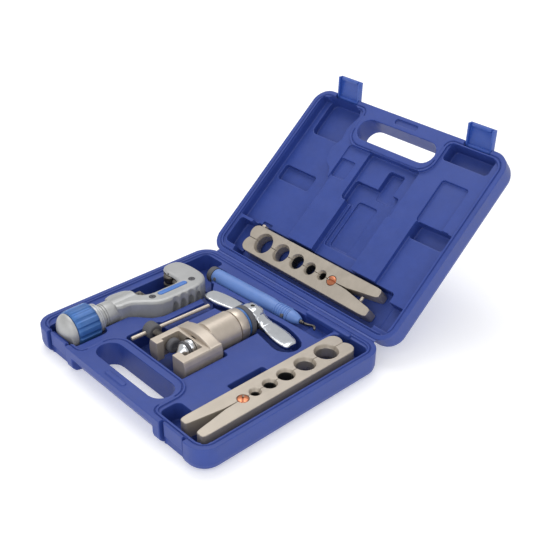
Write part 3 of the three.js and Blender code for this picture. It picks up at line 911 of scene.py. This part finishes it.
@dataclass
class TubeCutter(Assembly):
    """The tube cutter that lies along the left of the tray."""

    flutes: int = 14

    def build_frame(self) -> None:
        """The cast frame, with the collars of its nose, and what is set into it."""
        c = centre_of("cutter_knob_sleeve")
        at = (c.x, c.z)
        casting = copy_node("cutter_frame", "cutter_casting")
        for y in (9.0, 18.0, 27.0, 36.0):
            pierce(casting, self.thumb(at[0] + 34.0, y, at[1] - 5.5))
        remould(casting, 0.42, 3, 0.45)
        waist = lathe("waist", [(10.4, -55.9), (13.5, -55.9), (13.5, -41.2), (10.4, -41.2)],
                      at, 72)
        pierce(casting, waist)
        nose = lathe("nose", [
            (9.8, -55.8), (11.2, -55.8), (11.5, -55.4), (11.5, -53.9), (10.8, -53.7),
            (10.8, -53.0), (11.5, -52.8), (11.5, -51.6), (10.8, -51.4), (10.8, -50.7),
            (11.5, -50.5), (11.5, -41.4), (11.2, -40.9), (9.8, -40.9)], at, 72)
        casting = join("cutter_casting", casting, nose)
        self.seat(casting, CAST, "cutter", "cutter_frame")
        inlay = crisp(copy_node("cutter_inlay", "cutter_grip_inlay"), 0.35)
        self.seat(inlay, INLAY_BLUE, "cutter", "cutter_inlay")
        for end in ("front", "rear"):
            node = f"cutter_frame_screw_{end}"
            self.seat(self.screw(f"frame_screw_{end}", centre_of(node)), BLACK, "cutter", node)

    @staticmethod
    def screw(name: str, at: Vector) -> bpy.types.Object:
        """A socket screw sunk in a black cup.

        Args:
            name: Its name.
            at: The middle of the head.

        Returns:
            The screw.
        """
        top = at.z + 1.35
        head = lathe(name, [
            (0.0, -2.6), (2.6, -2.6), (3.3, 0.1), (3.5, 0.35), (3.4, 0.5), (2.9, 0.45),
            (2.5, -0.3), (2.3, 0.25), (2.0, 0.4), (1.2, 0.4), (0.0, 0.4)], (0, 0), 40)
        move(head, shift(at.x, at.y, top) @ Matrix.Rotation(math.pi / 2, 4, "X"))
        socket = prism("socket", [(at.x + 1.15 * math.cos(math.pi * i / 3),
                                   at.y + 1.15 * math.sin(math.pi * i / 3))
                                  for i in range(6)], top - 1.2, top + 2, 0.0)
        return pierce(head, socket)

    @staticmethod
    def thumb(x: float, y: float, z: float) -> bpy.types.Object:
        """An upright rounded cutter for one finger scallop.

        Args:
            x: Its middle along X.
            y: Its middle along Y.
            z: Its middle along Z.

        Returns:
            The cutter.
        """
        steps = 10
        profile = [(0.0, -11.0)]
        profile += [(max(0.05, 8.0 * math.cos(a)), 11.0 * math.sin(a))
                    for a in (math.pi * (i / steps - 0.5) for i in range(1, steps))]
        ball = lathe("thumb", [*profile, (0.0, 11.0)], (0, 0), 28)
        squeeze = Matrix.Scale(0.5, 4, Vector((0, 1, 0)))
        return move(ball, shift(x, y, z) @ squeeze @ Matrix.Rotation(math.pi / 2, 4, "X"))

    def build_knob(self) -> None:
        """The fluted sleeve, its domed cap, the ring and the feed screw."""
        c = centre_of("cutter_knob_sleeve")
        at = (c.x, c.z)

        def fluted(r: float, turn: float) -> float:
            """The radius at an angle: shallow flutes between broad lands.

            Args:
                r: Radius of the profile.
                turn: The angle in radians.

            Returns:
                The fluted radius.
            """
            depth = 0.75 if r > 15 else 0.0
            return r - depth * max(0.0, math.cos(self.flutes * turn)) ** 0.6

        sleeve = lathe("knob_sleeve", [
            (9.0, -62.3), (15.6, -62.3), (17.2, -63.1), (17.9, -64.4), (18.0, -66.5),
            (18.0, -82.0), (17.8, -84.0), (17.0, -85.3), (15.6, -85.8), (9.0, -85.8)],
            at, 168, fluted)
        self.seat(sleeve, KNOB_BLUE, "cutter_knob", "cutter_knob_sleeve")
        dome = [(16.3 * math.cos(a), -86.2 - 9.1 * math.sin(a))
                for a in (math.pi / 2 * i / 14 for i in range(14, -1, -1))]
        dome[0] = (0.0, dome[0][1])
        cap = lathe("knob_cap", [*dome, (15.9, -85.9), (8.0, -85.9), (0.0, -85.9)], at, 72)
        self.seat(cap, CAST, "cutter_knob", "cutter_knob_cap")
        ring = lathe("knob_ring", eased([
            (4.8, -61.9), (13.9, -61.9), (14.5, -61.0), (14.5, -59.9), (13.7, -59.5),
            (13.7, -59.0), (14.5, -58.6), (14.2, -57.0), (13.4, -56.7), (4.8, -56.7)], 0.25),
            at, 72)
        self.seat(ring, TURNED_CAST, "cutter_knob", "cutter_knob_ring")
        thread = [(0.0, -74.7), (4.0, -74.7)]
        pitch = 1.5
        turns = 32
        for i in range(turns):
            y = -72.5 + i * pitch
            thread += [(3.3, y), (4.0, y + pitch * 0.5)]
        thread += [(3.3, -24.3), (0.0, -24.1)]
        screw = lathe("feed_screw", thread, at, 40)
        self.seat(screw, DARK_STEEL, "cutter_knob", "cutter_feed_screw")

    def build_works(self) -> None:
        """The wheel, its slide and the rollers."""
        slide = crisp(copy_node("cutter_wheel_slide", "wheel_slide"), 0.3)
        self.seat(slide, DARK_STEEL, "cutter_slide", "cutter_wheel_slide")
        c = centre_of("cutter_wheel")
        upright = shift(c.x, c.y, c.z) @ Matrix.Rotation(math.pi / 2, 4, "X")
        wheel = lathe("wheel_disc", [
            (2.2, -1.2), (4.4, -1.2), (4.7, -0.9), (7.95, -0.05), (7.95, 0.05), (4.7, 0.9),
            (4.4, 1.2), (2.2, 1.2)], (0, 0), 72)
        self.seat(move(wheel, upright), CHROME, "cutter_wheel", "cutter_wheel")
        pin = crisp(copy_node("cutter_wheel_pin", "wheel_pin"), 0.25)
        self.seat(pin, DARK_STEEL, "cutter_slide", "cutter_wheel_pin")
        for side in ("left", "right"):
            at = centre_of(f"cutter_roller_{side}")
            drum = lathe(f"roller_{side}", eased([
                (2.2, -7.0), (5.2, -7.0), (6.3, -6.2), (6.3, -1.4), (5.1, -0.9), (5.1, 0.9),
                (6.3, 1.4), (6.3, 6.2), (5.2, 7.0), (2.2, 7.0)], 0.3), (0, 0), 48)
            place = shift(at.x, at.y, at.z) @ Matrix.Rotation(math.pi / 2, 4, "X")
            node = f"cutter_roller_{side}"
            self.seat(move(drum, place), DARK_STEEL, node, node)
            pin_node = f"cutter_roller_pin_{side}"
            pin = crisp(copy_node(pin_node, f"roller_pin_{side}"), 0.25)
            self.seat(pin, DARK_STEEL, "cutter", pin_node)

    def build(self) -> None:
        """Build the whole cutter."""
        self.build_frame()
        self.build_knob()
        self.build_works()


@dataclass
class FlaringTool(Assembly):
    """The eccentric flaring tool in the middle of the tray."""

    radius: float = 25.0
    flat: float = 9.5
    arch: float = 5.4
    barrel: float = 16.4

    def axis(self) -> Flat:
        """X and Z of the spindle.

        Returns:
            The two, in millimetres.
        """
        c = centre_of("flare_clutch_collar")
        return (c.x, c.z)

    def crown(self, at: Flat) -> bpy.types.Object:
        """The arched shoulder behind the window.

        Args:
            at: X and Z of the spindle.

        Returns:
            The shoulder.
        """
        span = math.sqrt(self.radius ** 2 - self.flat ** 2) - 0.1
        steps = 24
        top = [(span * (1 - 2 * i / steps)) for i in range(steps + 1)]
        arc = [(x, self.flat - 0.4 + self.arch * (1 - (x / span) ** 2)) for x in top]
        section = [*arc, *((-x, -z) for x, z in arc)]
        stations = [(-17.9, 0.95), (-17.3, 1.0), (-7.4, 1.0), (-6.5, 0.985), (-6.0, 0.95)]
        return loft("crown", [[(at[0] + x * grow, y, at[1] + z * grow) for x, z in section]
                              for y, grow in stations])

    def build_yoke(self) -> None:
        """The yoke and the cap of its barrel."""
        x, z = at = self.axis()
        yoke = copy_node("flare_yoke", "yoke_casting")
        wide = self.radius + 1
        for side in (1, -1):
            low, high = sorted((z + side * self.flat, z + side * wide))
            slab = prism("slab", [(x - wide, -18.4), (x + wide, -18.4), (x + wide, -5.6),
                                  (x - wide, -5.6)], low, high, 0.0)
            pierce(yoke, slab)
        skin = lathe("skin", [(self.barrel, -5.6), (20.0, -5.6), (20.0, 24.0),
                              (self.barrel, 24.0)], at, 64)
        groove = prism("groove", [(x - wide, -18.7), (x + wide, -18.7), (x + wide, -17.8),
                                  (x - wide, -17.8)], z + self.flat - 0.7, z + wide, 0.0)
        pierce(yoke, skin, groove)
        bore = lathe("bore", [(0.0, -23.0), (9.4, -23.0), (9.4, -13.5), (6.6, -13.5),
                              (6.6, -4.0), (0.0, -4.0)], at, 40)
        crown = pierce(self.crown(at), bore)
        yoke = join("yoke_casting", yoke, crown)
        remould(yoke, 0.36, 2, 0.4)
        self.seat(yoke, NICKEL, "flare_tool", "flare_yoke")
        cap = lathe("barrel_cap", [
            (7.0, 23.5), (14.2, 23.5), (14.4, 24.6), (15.3, 25.0), (15.5, 25.5), (15.4, 33.2),
            (15.0, 34.0), (14.3, 34.35), (7.0, 34.35)], at, 80)
        self.seat(cap, TURNED_NICKEL, "flare_tool", "flare_barrel_cap")
        seal = lathe("seal_ring", eased([(7.0, 34.75), (14.4, 34.75), (14.4, 36.95),
                                         (7.0, 36.95)], 0.5), at, 72)
        self.seat(seal, KNOB_BLUE, "flare_tool", "flare_seal_ring")

    def build_drive(self) -> None:
        """The clutch collar, spindle, wing handle, pin and cone."""
        at = self.axis()
        collar = lathe("clutch_collar", [
            (7.0, 37.35), (14.2, 37.35), (14.9, 38.0), (15.0, 39.0), (15.0, 41.2),
            (14.8, 42.0), (14.1, 42.6), (7.0, 42.6)], at, 96,
            lambda r, turn: r - (0.22 if r > 14.5 and math.cos(36 * turn) > 0.3 else 0.0))
        self.seat(collar, BLACK, "flare_clutch", "flare_clutch_collar")
        spindle = lathe("spindle", eased([(0.0, -14.2), (6.1, -14.2), (6.1, 47.9), (0.0, 47.9)],
                                         0.6), at, 48)
        self.seat(spindle, DARK_STEEL, "flare_drive", "flare_spindle")
        self.build_handle(at)
        pin = crisp(copy_node("flare_handle_pin", "handle_pin"), 0.2)
        self.seat(pin, DARK_STEEL, "flare_drive", "flare_handle_pin")
        holder = lathe("cone_holder", eased([
            (0.0, -26.4), (6.9, -26.4), (8.5, -24.6), (8.5, -15.6), (7.7, -14.7),
            (0.0, -14.7)], 0.5), at, 64)
        self.seat(holder, CHROME, "flare_drive", "flare_cone_holder")
        ring = lathe("cone_ring", eased([(0.0, -28.95), (8.8, -28.95), (8.8, -26.85),
                                         (0.0, -26.85)], 0.4), at, 64)
        self.seat(ring, BLACK, "flare_drive", "flare_cone_ring")
        c = centre_of("flare_cone")
        cone = lathe("flaring_cone", [
            (0.0, -38.55), (0.7, -38.45), (1.3, -38.0), (7.5, -32.2), (7.95, -31.5),
            (7.95, -29.7), (7.6, -29.35), (0.0, -29.35)], (c.x, c.z), 72)
        self.seat(cone, CHROME, "flare_cone", "flare_cone")

    def wing(self, side: int, at: Flat) -> bpy.types.Object:
        """One paddle of the handle.

        Args:
            side: 1 towards +X, -1 towards -X.
            at: X and Z of the spindle.

        Returns:
            The paddle.
        """
        stations = [
            (0.0, 50.0, 6.6, 10.6), (7.0, 50.0, 6.6, 10.0), (11.0, 49.9, 6.5, 7.6),
            (15.0, 49.8, 6.5, 4.8), (20.0, 49.6, 6.9, 3.4), (28.0, 48.8, 8.1, 3.2),
            (36.0, 47.6, 8.8, 3.3), (43.0, 46.5, 8.9, 3.4), (49.0, 45.6, 8.3, 3.5),
            (53.0, 45.2, 7.5, 3.5), (55.8, 45.0, 6.3, 3.2), (57.2, 44.8, 4.8, 2.5)]
        loops = []
        for x, y, width, thick in stations:
            dish = 0.3 if x > 17 else 0.0
            loop = []
            for i in range(32):
                turn = 2 * math.pi * i / 32
                c, s = math.cos(turn), math.sin(turn)
                along = math.copysign(abs(c) ** 0.7, c)
                up = math.copysign(abs(s) ** 0.6, s)
                if s > 0:
                    up -= dish * (1 - along ** 4)
                loop.append((at[0] + side * x, y + width * along, at[1] + thick * up))
            loops.append(loop)
        return loft("wing", loops)

    def build_handle(self, at: Flat) -> None:
        """The hub and its two paddles, polished as one casting.

        Args:
            at: X and Z of the spindle.
        """
        hub = lathe("hub", [
            (0.0, 43.1), (11.4, 43.1), (12.2, 44.3), (12.4, 49.0), (11.9, 53.6),
            (10.4, 56.2), (6.0, 57.4), (0.0, 57.6)], at, 64,
            lambda r, turn: r * (1 + 0.12 * math.sin(2 * turn) ** 2) if r > 0 else r)
        bore = lathe("hub_bore", [(0.0, 40.0), (6.6, 40.0), (6.6, 48.6), (0.0, 48.6)], at, 40)
        c = centre_of("flare_handle_pin")
        socket = prism("socket", [(c.x + 2.0 * math.cos(math.pi * i / 12),
                                   c.y + 2.0 * math.sin(math.pi * i / 12))
                                  for i in range(24)], at[1] + 6.6, at[1] + 14, 0.0)
        handle = join("wing_handle", hub, self.wing(1, at), self.wing(-1, at))
        remould(handle, 0.4, 3, 1.0)
        pierce(handle, bore, socket)
        self.seat(smooth_shade(handle, 50.0), CHROME, "flare_drive", "flare_handle")

    def build_clamp(self) -> None:
        """The clamp screw, its knob, shoe and tommy bar."""
        knob_at = centre_of("flare_clamp_knob")
        across = shift(knob_at.x, knob_at.y, knob_at.z) @ Matrix.Rotation(-math.pi / 2, 4, "Z")
        knob = lathe("clamp_knob", [
            (0.0, -5.5), (6.3, -5.5), (7.2, -4.7), (7.45, -3.8), (7.45, 3.8), (7.2, 4.7),
            (6.3, 5.5), (0.0, 5.5)], (0, 0), 96,
            lambda r, turn: r - (0.25 if r > 7.3 and math.cos(24 * turn) > 0.2 else 0.0))
        move(knob, across)
        yaw = math.radians(2.8)
        along = shift(knob_at.x, knob_at.y, knob_at.z) @ Matrix.Rotation(-yaw, 4, "Z")
        hole = move(lathe("hole", [(0, -12), (2.1, -12), (2.1, 12), (0, 12)], (0, 0), 32),
                    along)
        pierce(knob, hole)
        self.seat(smooth_shade(knob), BLACK, "flare_clamp", "flare_clamp_knob")
        tommy = lathe("tommy_bar", [
            (0.0, -21.5), (1.4, -21.5), (1.95, -20.9), (1.95, 62.3), (1.4, 63.0),
            (0.0, 63.0)], (0, 0), 32)
        self.seat(move(tommy, along), TURNED_NICKEL, "flare_clamp", "flare_tommy_bar")
        low, high = (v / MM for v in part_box("flare_clamp_screw"))
        middle = centre_of("flare_clamp_screw")
        thread = [(0.0, low.x), (3.9, low.x)]
        pitch = 1.25
        for i in range(int((high.x - low.x) / pitch) - 1):
            start = low.x + 0.6 + i * pitch
            thread += [(3.35, start), (3.95, start + pitch * 0.5)]
        thread += [(3.4, high.x - 0.1), (0.0, high.x)]
        turn = shift(0, middle.y, middle.z) @ Matrix.Rotation(-math.pi / 2, 4, "Z")
        screw = move(lathe("clamp_screw", thread, (0, 0), 40), turn)
        self.seat(screw, DARK_STEEL, "flare_clamp", "flare_clamp_screw")
        low, high = (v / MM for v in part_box("flare_clamp_shoe"))
        shoe = lathe("clamp_shoe", eased([
            (0.0, low.x), (5.6, low.x), (6.9, low.x + 1.6), (6.9, high.x - 1.2),
            (6.0, high.x), (3.2, high.x), (2.6, high.x - 0.8), (0.0, high.x - 0.8)], 0.6),
            (0, 0), 48)
        c = centre_of("flare_clamp_shoe")
        move(shoe, shift(0, c.y, c.z) @ Matrix.Rotation(-math.pi / 2, 4, "Z"))
        self.seat(shoe, BLACK, "flare_clamp_shoe", "flare_clamp_shoe")

    def build(self) -> None:
        """Build the whole flaring tool."""
        self.build_yoke()
        self.build_drive()
        self.build_clamp()


@dataclass
class FlaringBar(Assembly):
    """A flaring bar: two jaws that meet on a row of graded holes."""

    length: float = 171.0
    half_width: float = 15.0
    thick: float = 15.0
    pivot: float = 118.0
    pivot_radius: float = 4.9
    apex: float = 137.0
    seam: float = 0.15
    holes: tuple[Flat, ...] = ((23.5, 9.5), (49.0, 7.95), (71.0, 6.35), (89.0, 4.75),
                               (105.0, 3.2))
    mouths: tuple[float, ...] = (11.0, 9.7, 8.2, 6.7, 5.4)
    cone: float = 3.4
    slot_turn: float = 0.0
    place: Matrix = field(default_factory=Matrix)

    def outline(self, grow: float, inset: float, pin: float) -> list[Flat]:
        """The edge of the jaw on the +X side.

        Args:
            grow: How far up its cone each hole is, from 0 at the grip to 1 at the mouth.
            inset: How far the outer edge is drawn in.
            pin: Radius of the pivot hole.

        Returns:
            The edge, anticlockwise from the nose.
        """
        x0 = self.seam + 0.5 * inset
        edge = [(x0, 3.0 + inset)]
        holes = [(y, r + grow * (mouth - r))
                 for (y, r), mouth in zip(self.holes, self.mouths)]
        for y, r in (*holes, (self.pivot, pin)):
            start = math.asin(min(1.0, x0 / r))
            for i in range(25):
                turn = start + (math.pi - 2 * start) * i / 24
                edge.append((r * math.sin(turn), y - r * math.cos(turn)))
        w = self.half_width
        end = self.length
        edge += [(x0, self.pivot + 6.0), (0.7 + 0.5 * inset, self.apex)]
        outer = [(5.6, end - 3.4), (6.3, end - 1.0), (7.4, end), (12.2, end),
                 (13.7, end - 0.8), (14.6, end - 2.6), (w, end - 7.0), (w, 9.0),
                 (14.7, 6.0), (13.6, 3.4), (11.8, 1.4), (9.4, 0.3), (6.8, 0.0), (4.2, 0.4),
                 (1.8, 1.6)]
        middle = Vector((w / 2 + 1.0, end / 2))
        for x, y in outer:
            toward = Vector((math.copysign(1, middle.x - x) if x > 12 or 20 < y < end - 9
                             else 0.35 * math.copysign(1, middle.x - x),
                             math.copysign(1, middle.y - y) if y < 6 or y > end - 7 else 0.0))
            edge.append((x + inset * toward.x, y + inset * toward.y))
        return edge

    def jaw(self, name: str, side: int) -> bpy.types.Object:
        """One jaw, with gripping grooves down its holes.

        Args:
            name: The jaw's name.
            side: 1 for the jaw on +X, -1 for its mirror image.

        Returns:
            The jaw, in place.
        """
        seat = self.pivot_radius + 0.5
        pin = 4.5
        layers = [(0.0, 0.45, 1.03, seat), (0.35, 0.1, 0.93, seat)]
        for i in range(6):
            z = 0.7 + i * 0.45
            ridge = 0.05 if i % 2 else 0.0
            layers.append((z, 0.0, 0.9 * (1 - z / self.cone) + ridge + 0.04,
                           seat if z < 1.5 else pin))
        layers.append((self.cone, 0.0, 0.0, pin))
        below = len(layers)
        pitch = 0.55
        for i in range(1, int((self.thick - 2 * self.cone) / pitch)):
            layers.append((self.cone + i * pitch, 0.0, 0.06 if i % 2 else 0.0, pin))
        layers += [(self.thick - z, inset, grow, pin_r)
                   for z, inset, grow, pin_r in reversed(layers[:below])]
        loops = [[(side * x, y, z) for x, y in self.outline(grow, inset, pin_r)]
                 for z, inset, grow, pin_r in layers]
        made = smooth_shade(loft(name, loops), 28.0)
        made.data.materials.append(BAR_NICKEL.material(self.effects))
        made.data.materials.append(BORE_WITH_SHADE.material(self.effects))
        made.data.materials.append(PAINTED_SHADE_BORE.material(self.effects))
        # Hole walls between the countersinks: the big holes get a bored finish painted a little
        # darker as shade, the small holes a near-black painted shade.
        for face in made.data.polygons:
            at = face.center / MM
            if self.cone - 0.3 < at.z < self.thick - self.cone + 0.3:
                for y, r in self.holes:
                    if math.hypot(at.x, at.y - y) < r + 0.6:
                        face.material_index = 1 if r > 7 else 2
        return move(made, self.place)

    def pin(self, name: str) -> bpy.types.Object:
        """The slotted pivot pin.

        Args:
            name: Its name.

        Returns:
            The pin, in place.
        """
        t = self.thick
        r = self.pivot_radius
        body = lathe(name, [
            (0.0, 0.1), (r - 0.5, 0.1), (r, 0.5), (r, 1.3), (4.1, 1.4), (4.1, t - 1.4),
            (r, t - 1.3), (r, t - 0.3), (r - 0.4, t + 0.2), (r * 0.6, t + 0.55),
            (0.0, t + 0.7)], (0, 0), 56)
        move(body, shift(0, self.pivot, 0) @ Matrix.Rotation(math.pi / 2, 4, "X"))
        slot = prism("slot", [(-0.9, -7), (0.9, -7), (0.9, 7), (-0.9, 7)], t - 2.2, t + 2, 0.0)
        move(slot, shift(0, self.pivot, 0)
             @ Matrix.Rotation(math.radians(self.slot_turn), 4, "Z"))
        pierce(body, slot)
        return move(smooth_shade(body), self.place)


@dataclass
class BaseBar(FlaringBar):
    """The bar in the tray."""

    def build(self) -> None:
        """Build both jaws and the pin."""
        self.slot_turn = 45.0
        c = centre_of("base_bar_pivot_pin")
        low, _ = (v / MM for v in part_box("base_bar_jaw_left"))
        self.place = (shift(c.x, 81.5, low.z) @ Matrix.Rotation(math.pi, 4, "Z"))
        self.seat(self.jaw("tray_jaw_left", 1), BAR_NICKEL, "base_bar", "base_bar_jaw_left")
        self.seat(self.jaw("tray_jaw_right", -1), BAR_NICKEL, "base_bar_jaw",
                  "base_bar_jaw_right")
        self.seat(self.pin("tray_pivot_pin"), COPPER, "base_bar", "base_bar_pivot_pin")


@dataclass
class LidBar(FlaringBar):
    """The bar in the lid."""

    def build(self, turn: Matrix) -> None:
        """Build both jaws, the pin, the stud and the nib.

        Args:
            turn: The turn that opens the lid.
        """
        self.place = turn @ shift(-90, 73.6, 29.3) @ Matrix.Rotation(-math.pi / 2, 4, "Z")
        flip = (Matrix.Translation((0, 0, self.thick * MM))
                @ Matrix.Scale(-1, 4, Vector((0, 0, 1))))
        for name, side, body, node in (
                ("lid_jaw_upper", 1, "lid_bar_jaw", "lid_bar_jaw_upper"),
                ("lid_jaw_lower", -1, "lid_bar", "lid_bar_jaw_lower")):
            self.seat(self.jaw(name, side), BAR_NICKEL, body, node)
        self.place = self.place @ flip
        pin = self.pin("lid_pivot_pin")
        with_bmesh(pin, lambda b: bmesh.ops.recalc_face_normals(b, faces=b.faces))
        self.seat(pin, COPPER, "lid_bar", "lid_bar_pivot_pin")
        stud = crisp(copy_node("lid_bar_spring_stud", "lid_stud"), 0.3)
        self.seat(stud, NICKEL, "lid_bar", "lid_bar_spring_stud")
        nib = crisp(copy_node("lid_bar_stop_nib", "lid_nib"), 0.5)
        self.seat(nib, NICKEL, "lid_bar_jaw", "lid_bar_stop_nib")


@dataclass
class DeburringPen(Assembly):
    """The deburring pen at the back of the tray."""

    yaw: float = 3.2

    def along(self) -> Matrix:
        """From a profile turned about Y to the pen's place.

        Returns:
            The matrix that lays the profile there.
        """
        low, high = (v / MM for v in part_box("pen_end_cap"))
        end = Vector((-79.5, 72.5, (low.z + high.z) / 2))
        return (shift(end.x, end.y, end.z) @ Matrix.Rotation(math.radians(self.yaw), 4, "Z")
                @ Matrix.Rotation(-math.pi / 2, 4, "Z"))

    def build(self) -> None:
        """Build the cap, body, ribbed grip, nose, chuck and blade."""
        place = self.along()
        cap = lathe("pen_cap", [
            (0.0, 0.05), (6.4, 0.05), (7.5, 0.7), (8.05, 1.8), (8.1, 5.9), (7.8, 6.45),
            (0.0, 6.45)], (0, 0), 64)
        self.seat(move(cap, place), BLACK, "pen", "pen_end_cap")
        grip = [(7.55, 78.0), (7.5, 82.0), (6.9, 86.0), (6.75, 88.0)]
        for i in range(6):
            y = 89.0 + i * 2.8
            grip += [(6.5, y), (7.25, y + 0.6), (7.25, y + 1.5), (6.5, y + 2.1)]
        body = lathe("pen_barrel", [
            (0.0, 6.85), (7.3, 6.85), (7.65, 7.4), (7.75, 12.0), (7.7, 40.0), *grip,
            (6.4, 105.9), (0.0, 105.9)], (0, 0), 72)
        self.seat(move(body, place), PEN_BLUE, "pen", "pen_body")
        nose = lathe("pen_tip", [
            (0.0, 106.35), (6.35, 106.35), (6.3, 108.0), (5.9, 111.0), (4.6, 114.8),
            (3.3, 117.6), (2.7, 117.95), (0.0, 117.95)], (0, 0), 64)
        self.seat(move(nose, place), PEN_BLUE, "pen", "pen_nose")
        # Two small black pegs under the pen, rear and front: painted shade standing for the dark
        # gaps in the pocket beside the pen.
        for label, u in (("rear", 12.5), ("front", 101.5)):
            peg = lathe(f"pen_shade_peg_{label}", [(0.0, 0.0), (1.7, 0.0), (1.7, 8.2), (1.3, 8.5),
                                                (0.0, 8.5)], (0, 0), 32)
            move(peg, place @ shift(0, u, 0) @ Matrix.Rotation(math.radians(75), 4, "Y")
                 @ Matrix.Rotation(math.pi / 2, 4, "X"))
            self.seat(peg, BLACK, "pen")
        chuck = lathe("blade_chuck", eased([(0.0, 118.35), (1.95, 118.35), (1.95, 120.2),
                                            (1.3, 120.6), (1.3, 122.3), (0.0, 122.35)], 0.2),
                      (0, 0), 32)
        self.seat(move(chuck, place), DARK_STEEL, "pen_blade", "pen_blade_chuck")
        blade = crisp(copy_node("pen_blade", "hook_blade"), 0.4, 3)
        self.seat(blade, DARK_STEEL, "pen_blade", "pen_blade")


# ---- Stage --------------------------------------------------------------------------------------
@dataclass
class Studio:
    """The floor, the lights and the camera."""

    azimuth: float = 46.88
    elevation: float = 31.452
    roll: float = 0.63
    focal: float = 938.83
    target: Point = (-20.87, 102.71, 33.5)
    distance: float = 895.56
    frame_width: float = 550.0

    def build_floor(self) -> None:
        """A plain pale floor."""
        size = 6000.0
        floor = new_object("studio_floor", [(-size, -size, 0), (size, -size, 0),
                                            (size, size, 0), (-size, size, 0)], [(0, 1, 2, 3)])
        paper = bpy.data.materials.new("studio_paper")
        paper.use_nodes = True
        shader = paper.node_tree.nodes["Principled BSDF"]
        shader.inputs["Base Color"].default_value = (0.9, 0.9, 0.9, 1.0)
        shader.inputs["Roughness"].default_value = 0.9
        shader.inputs["Emission Color"].default_value = (1.0, 1.0, 1.0, 1.0)
        shader.inputs["Emission Strength"].default_value = 0.32
        shader.inputs["Specular IOR Level"].default_value = 0.1
        floor.data.materials.append(paper)

    def build_lights(self) -> None:
        """A pale surround, a key from above, a broad light in front and a fill on the right."""
        world = bpy.data.worlds.new("studio_air")
        world.use_nodes = True
        back = world.node_tree.nodes["Background"]
        back.inputs["Color"].default_value = (1.0, 1.0, 1.0, 1.0)
        back.inputs["Strength"].default_value = 0.62
        bpy.context.scene.world = world
        for name, at, power, width in (
                ("key", (-0.55, 0.35, 1.5), 9.0, 1.1),
                ("front", (0.5, -1.4, 1.1), 7.5, 1.4),
                ("fill", (1.4, 0.1, 0.9), 2.5, 0.9)):
            data = bpy.data.lights.new(name, "AREA")
            data.energy = power
            data.shape = "SQUARE"
            data.size = width
            lamp = bpy.data.objects.new(name, data)
            lamp.location = at
            aim = Vector((0.0, 0.08, 0.03)) - Vector(at)
            lamp.rotation_euler = aim.to_track_quat("-Z", "Y").to_euler()
            bpy.context.scene.collection.objects.link(lamp)

    def build_camera(self) -> None:
        """The camera, at a three-quarter view from above the front right."""
        az, el, roll = (math.radians(a) for a in (self.azimuth, self.elevation, self.roll))
        back = Vector((math.sin(az) * math.cos(el), -math.cos(az) * math.cos(el), math.sin(el)))
        right = Vector((math.cos(az), math.sin(az), 0.0))
        up = back.cross(right)
        tilted_right = math.cos(roll) * right + math.sin(roll) * up
        tilted_up = -math.sin(roll) * right + math.cos(roll) * up
        data = bpy.data.cameras.new("studio_camera")
        data.sensor_width = 36.0
        data.lens = self.focal / self.frame_width * data.sensor_width
        camera = bpy.data.objects.new("studio_camera", data)
        place = Vector(self.target) * MM + back * self.distance * MM
        turn = Matrix((tilted_right, tilted_up, back)).transposed().to_4x4()
        camera.matrix_world = Matrix.Translation(place) @ turn
        bpy.context.scene.collection.objects.link(camera)
        bpy.context.scene.camera = camera

    def build(self) -> None:
        """Build the whole stage."""
        bpy.context.scene.view_settings.view_transform = "Standard"
        self.build_floor()
        self.build_lights()
        self.build_camera()


def main() -> None:
    """Build and dress every sub-assembly, then the stage."""
    logging.basicConfig(level=logging.INFO, format="%(name)s: %(message)s")
    effects = Effects()
    case = Case(effects)
    case.build()
    TubeCutter(effects).build()
    FlaringTool(effects).build()
    BaseBar(effects).build()
    LidBar(effects).build(case.hinge())
    DeburringPen(effects).build()
    Studio().build()


if __name__ == "__main__":
    main()
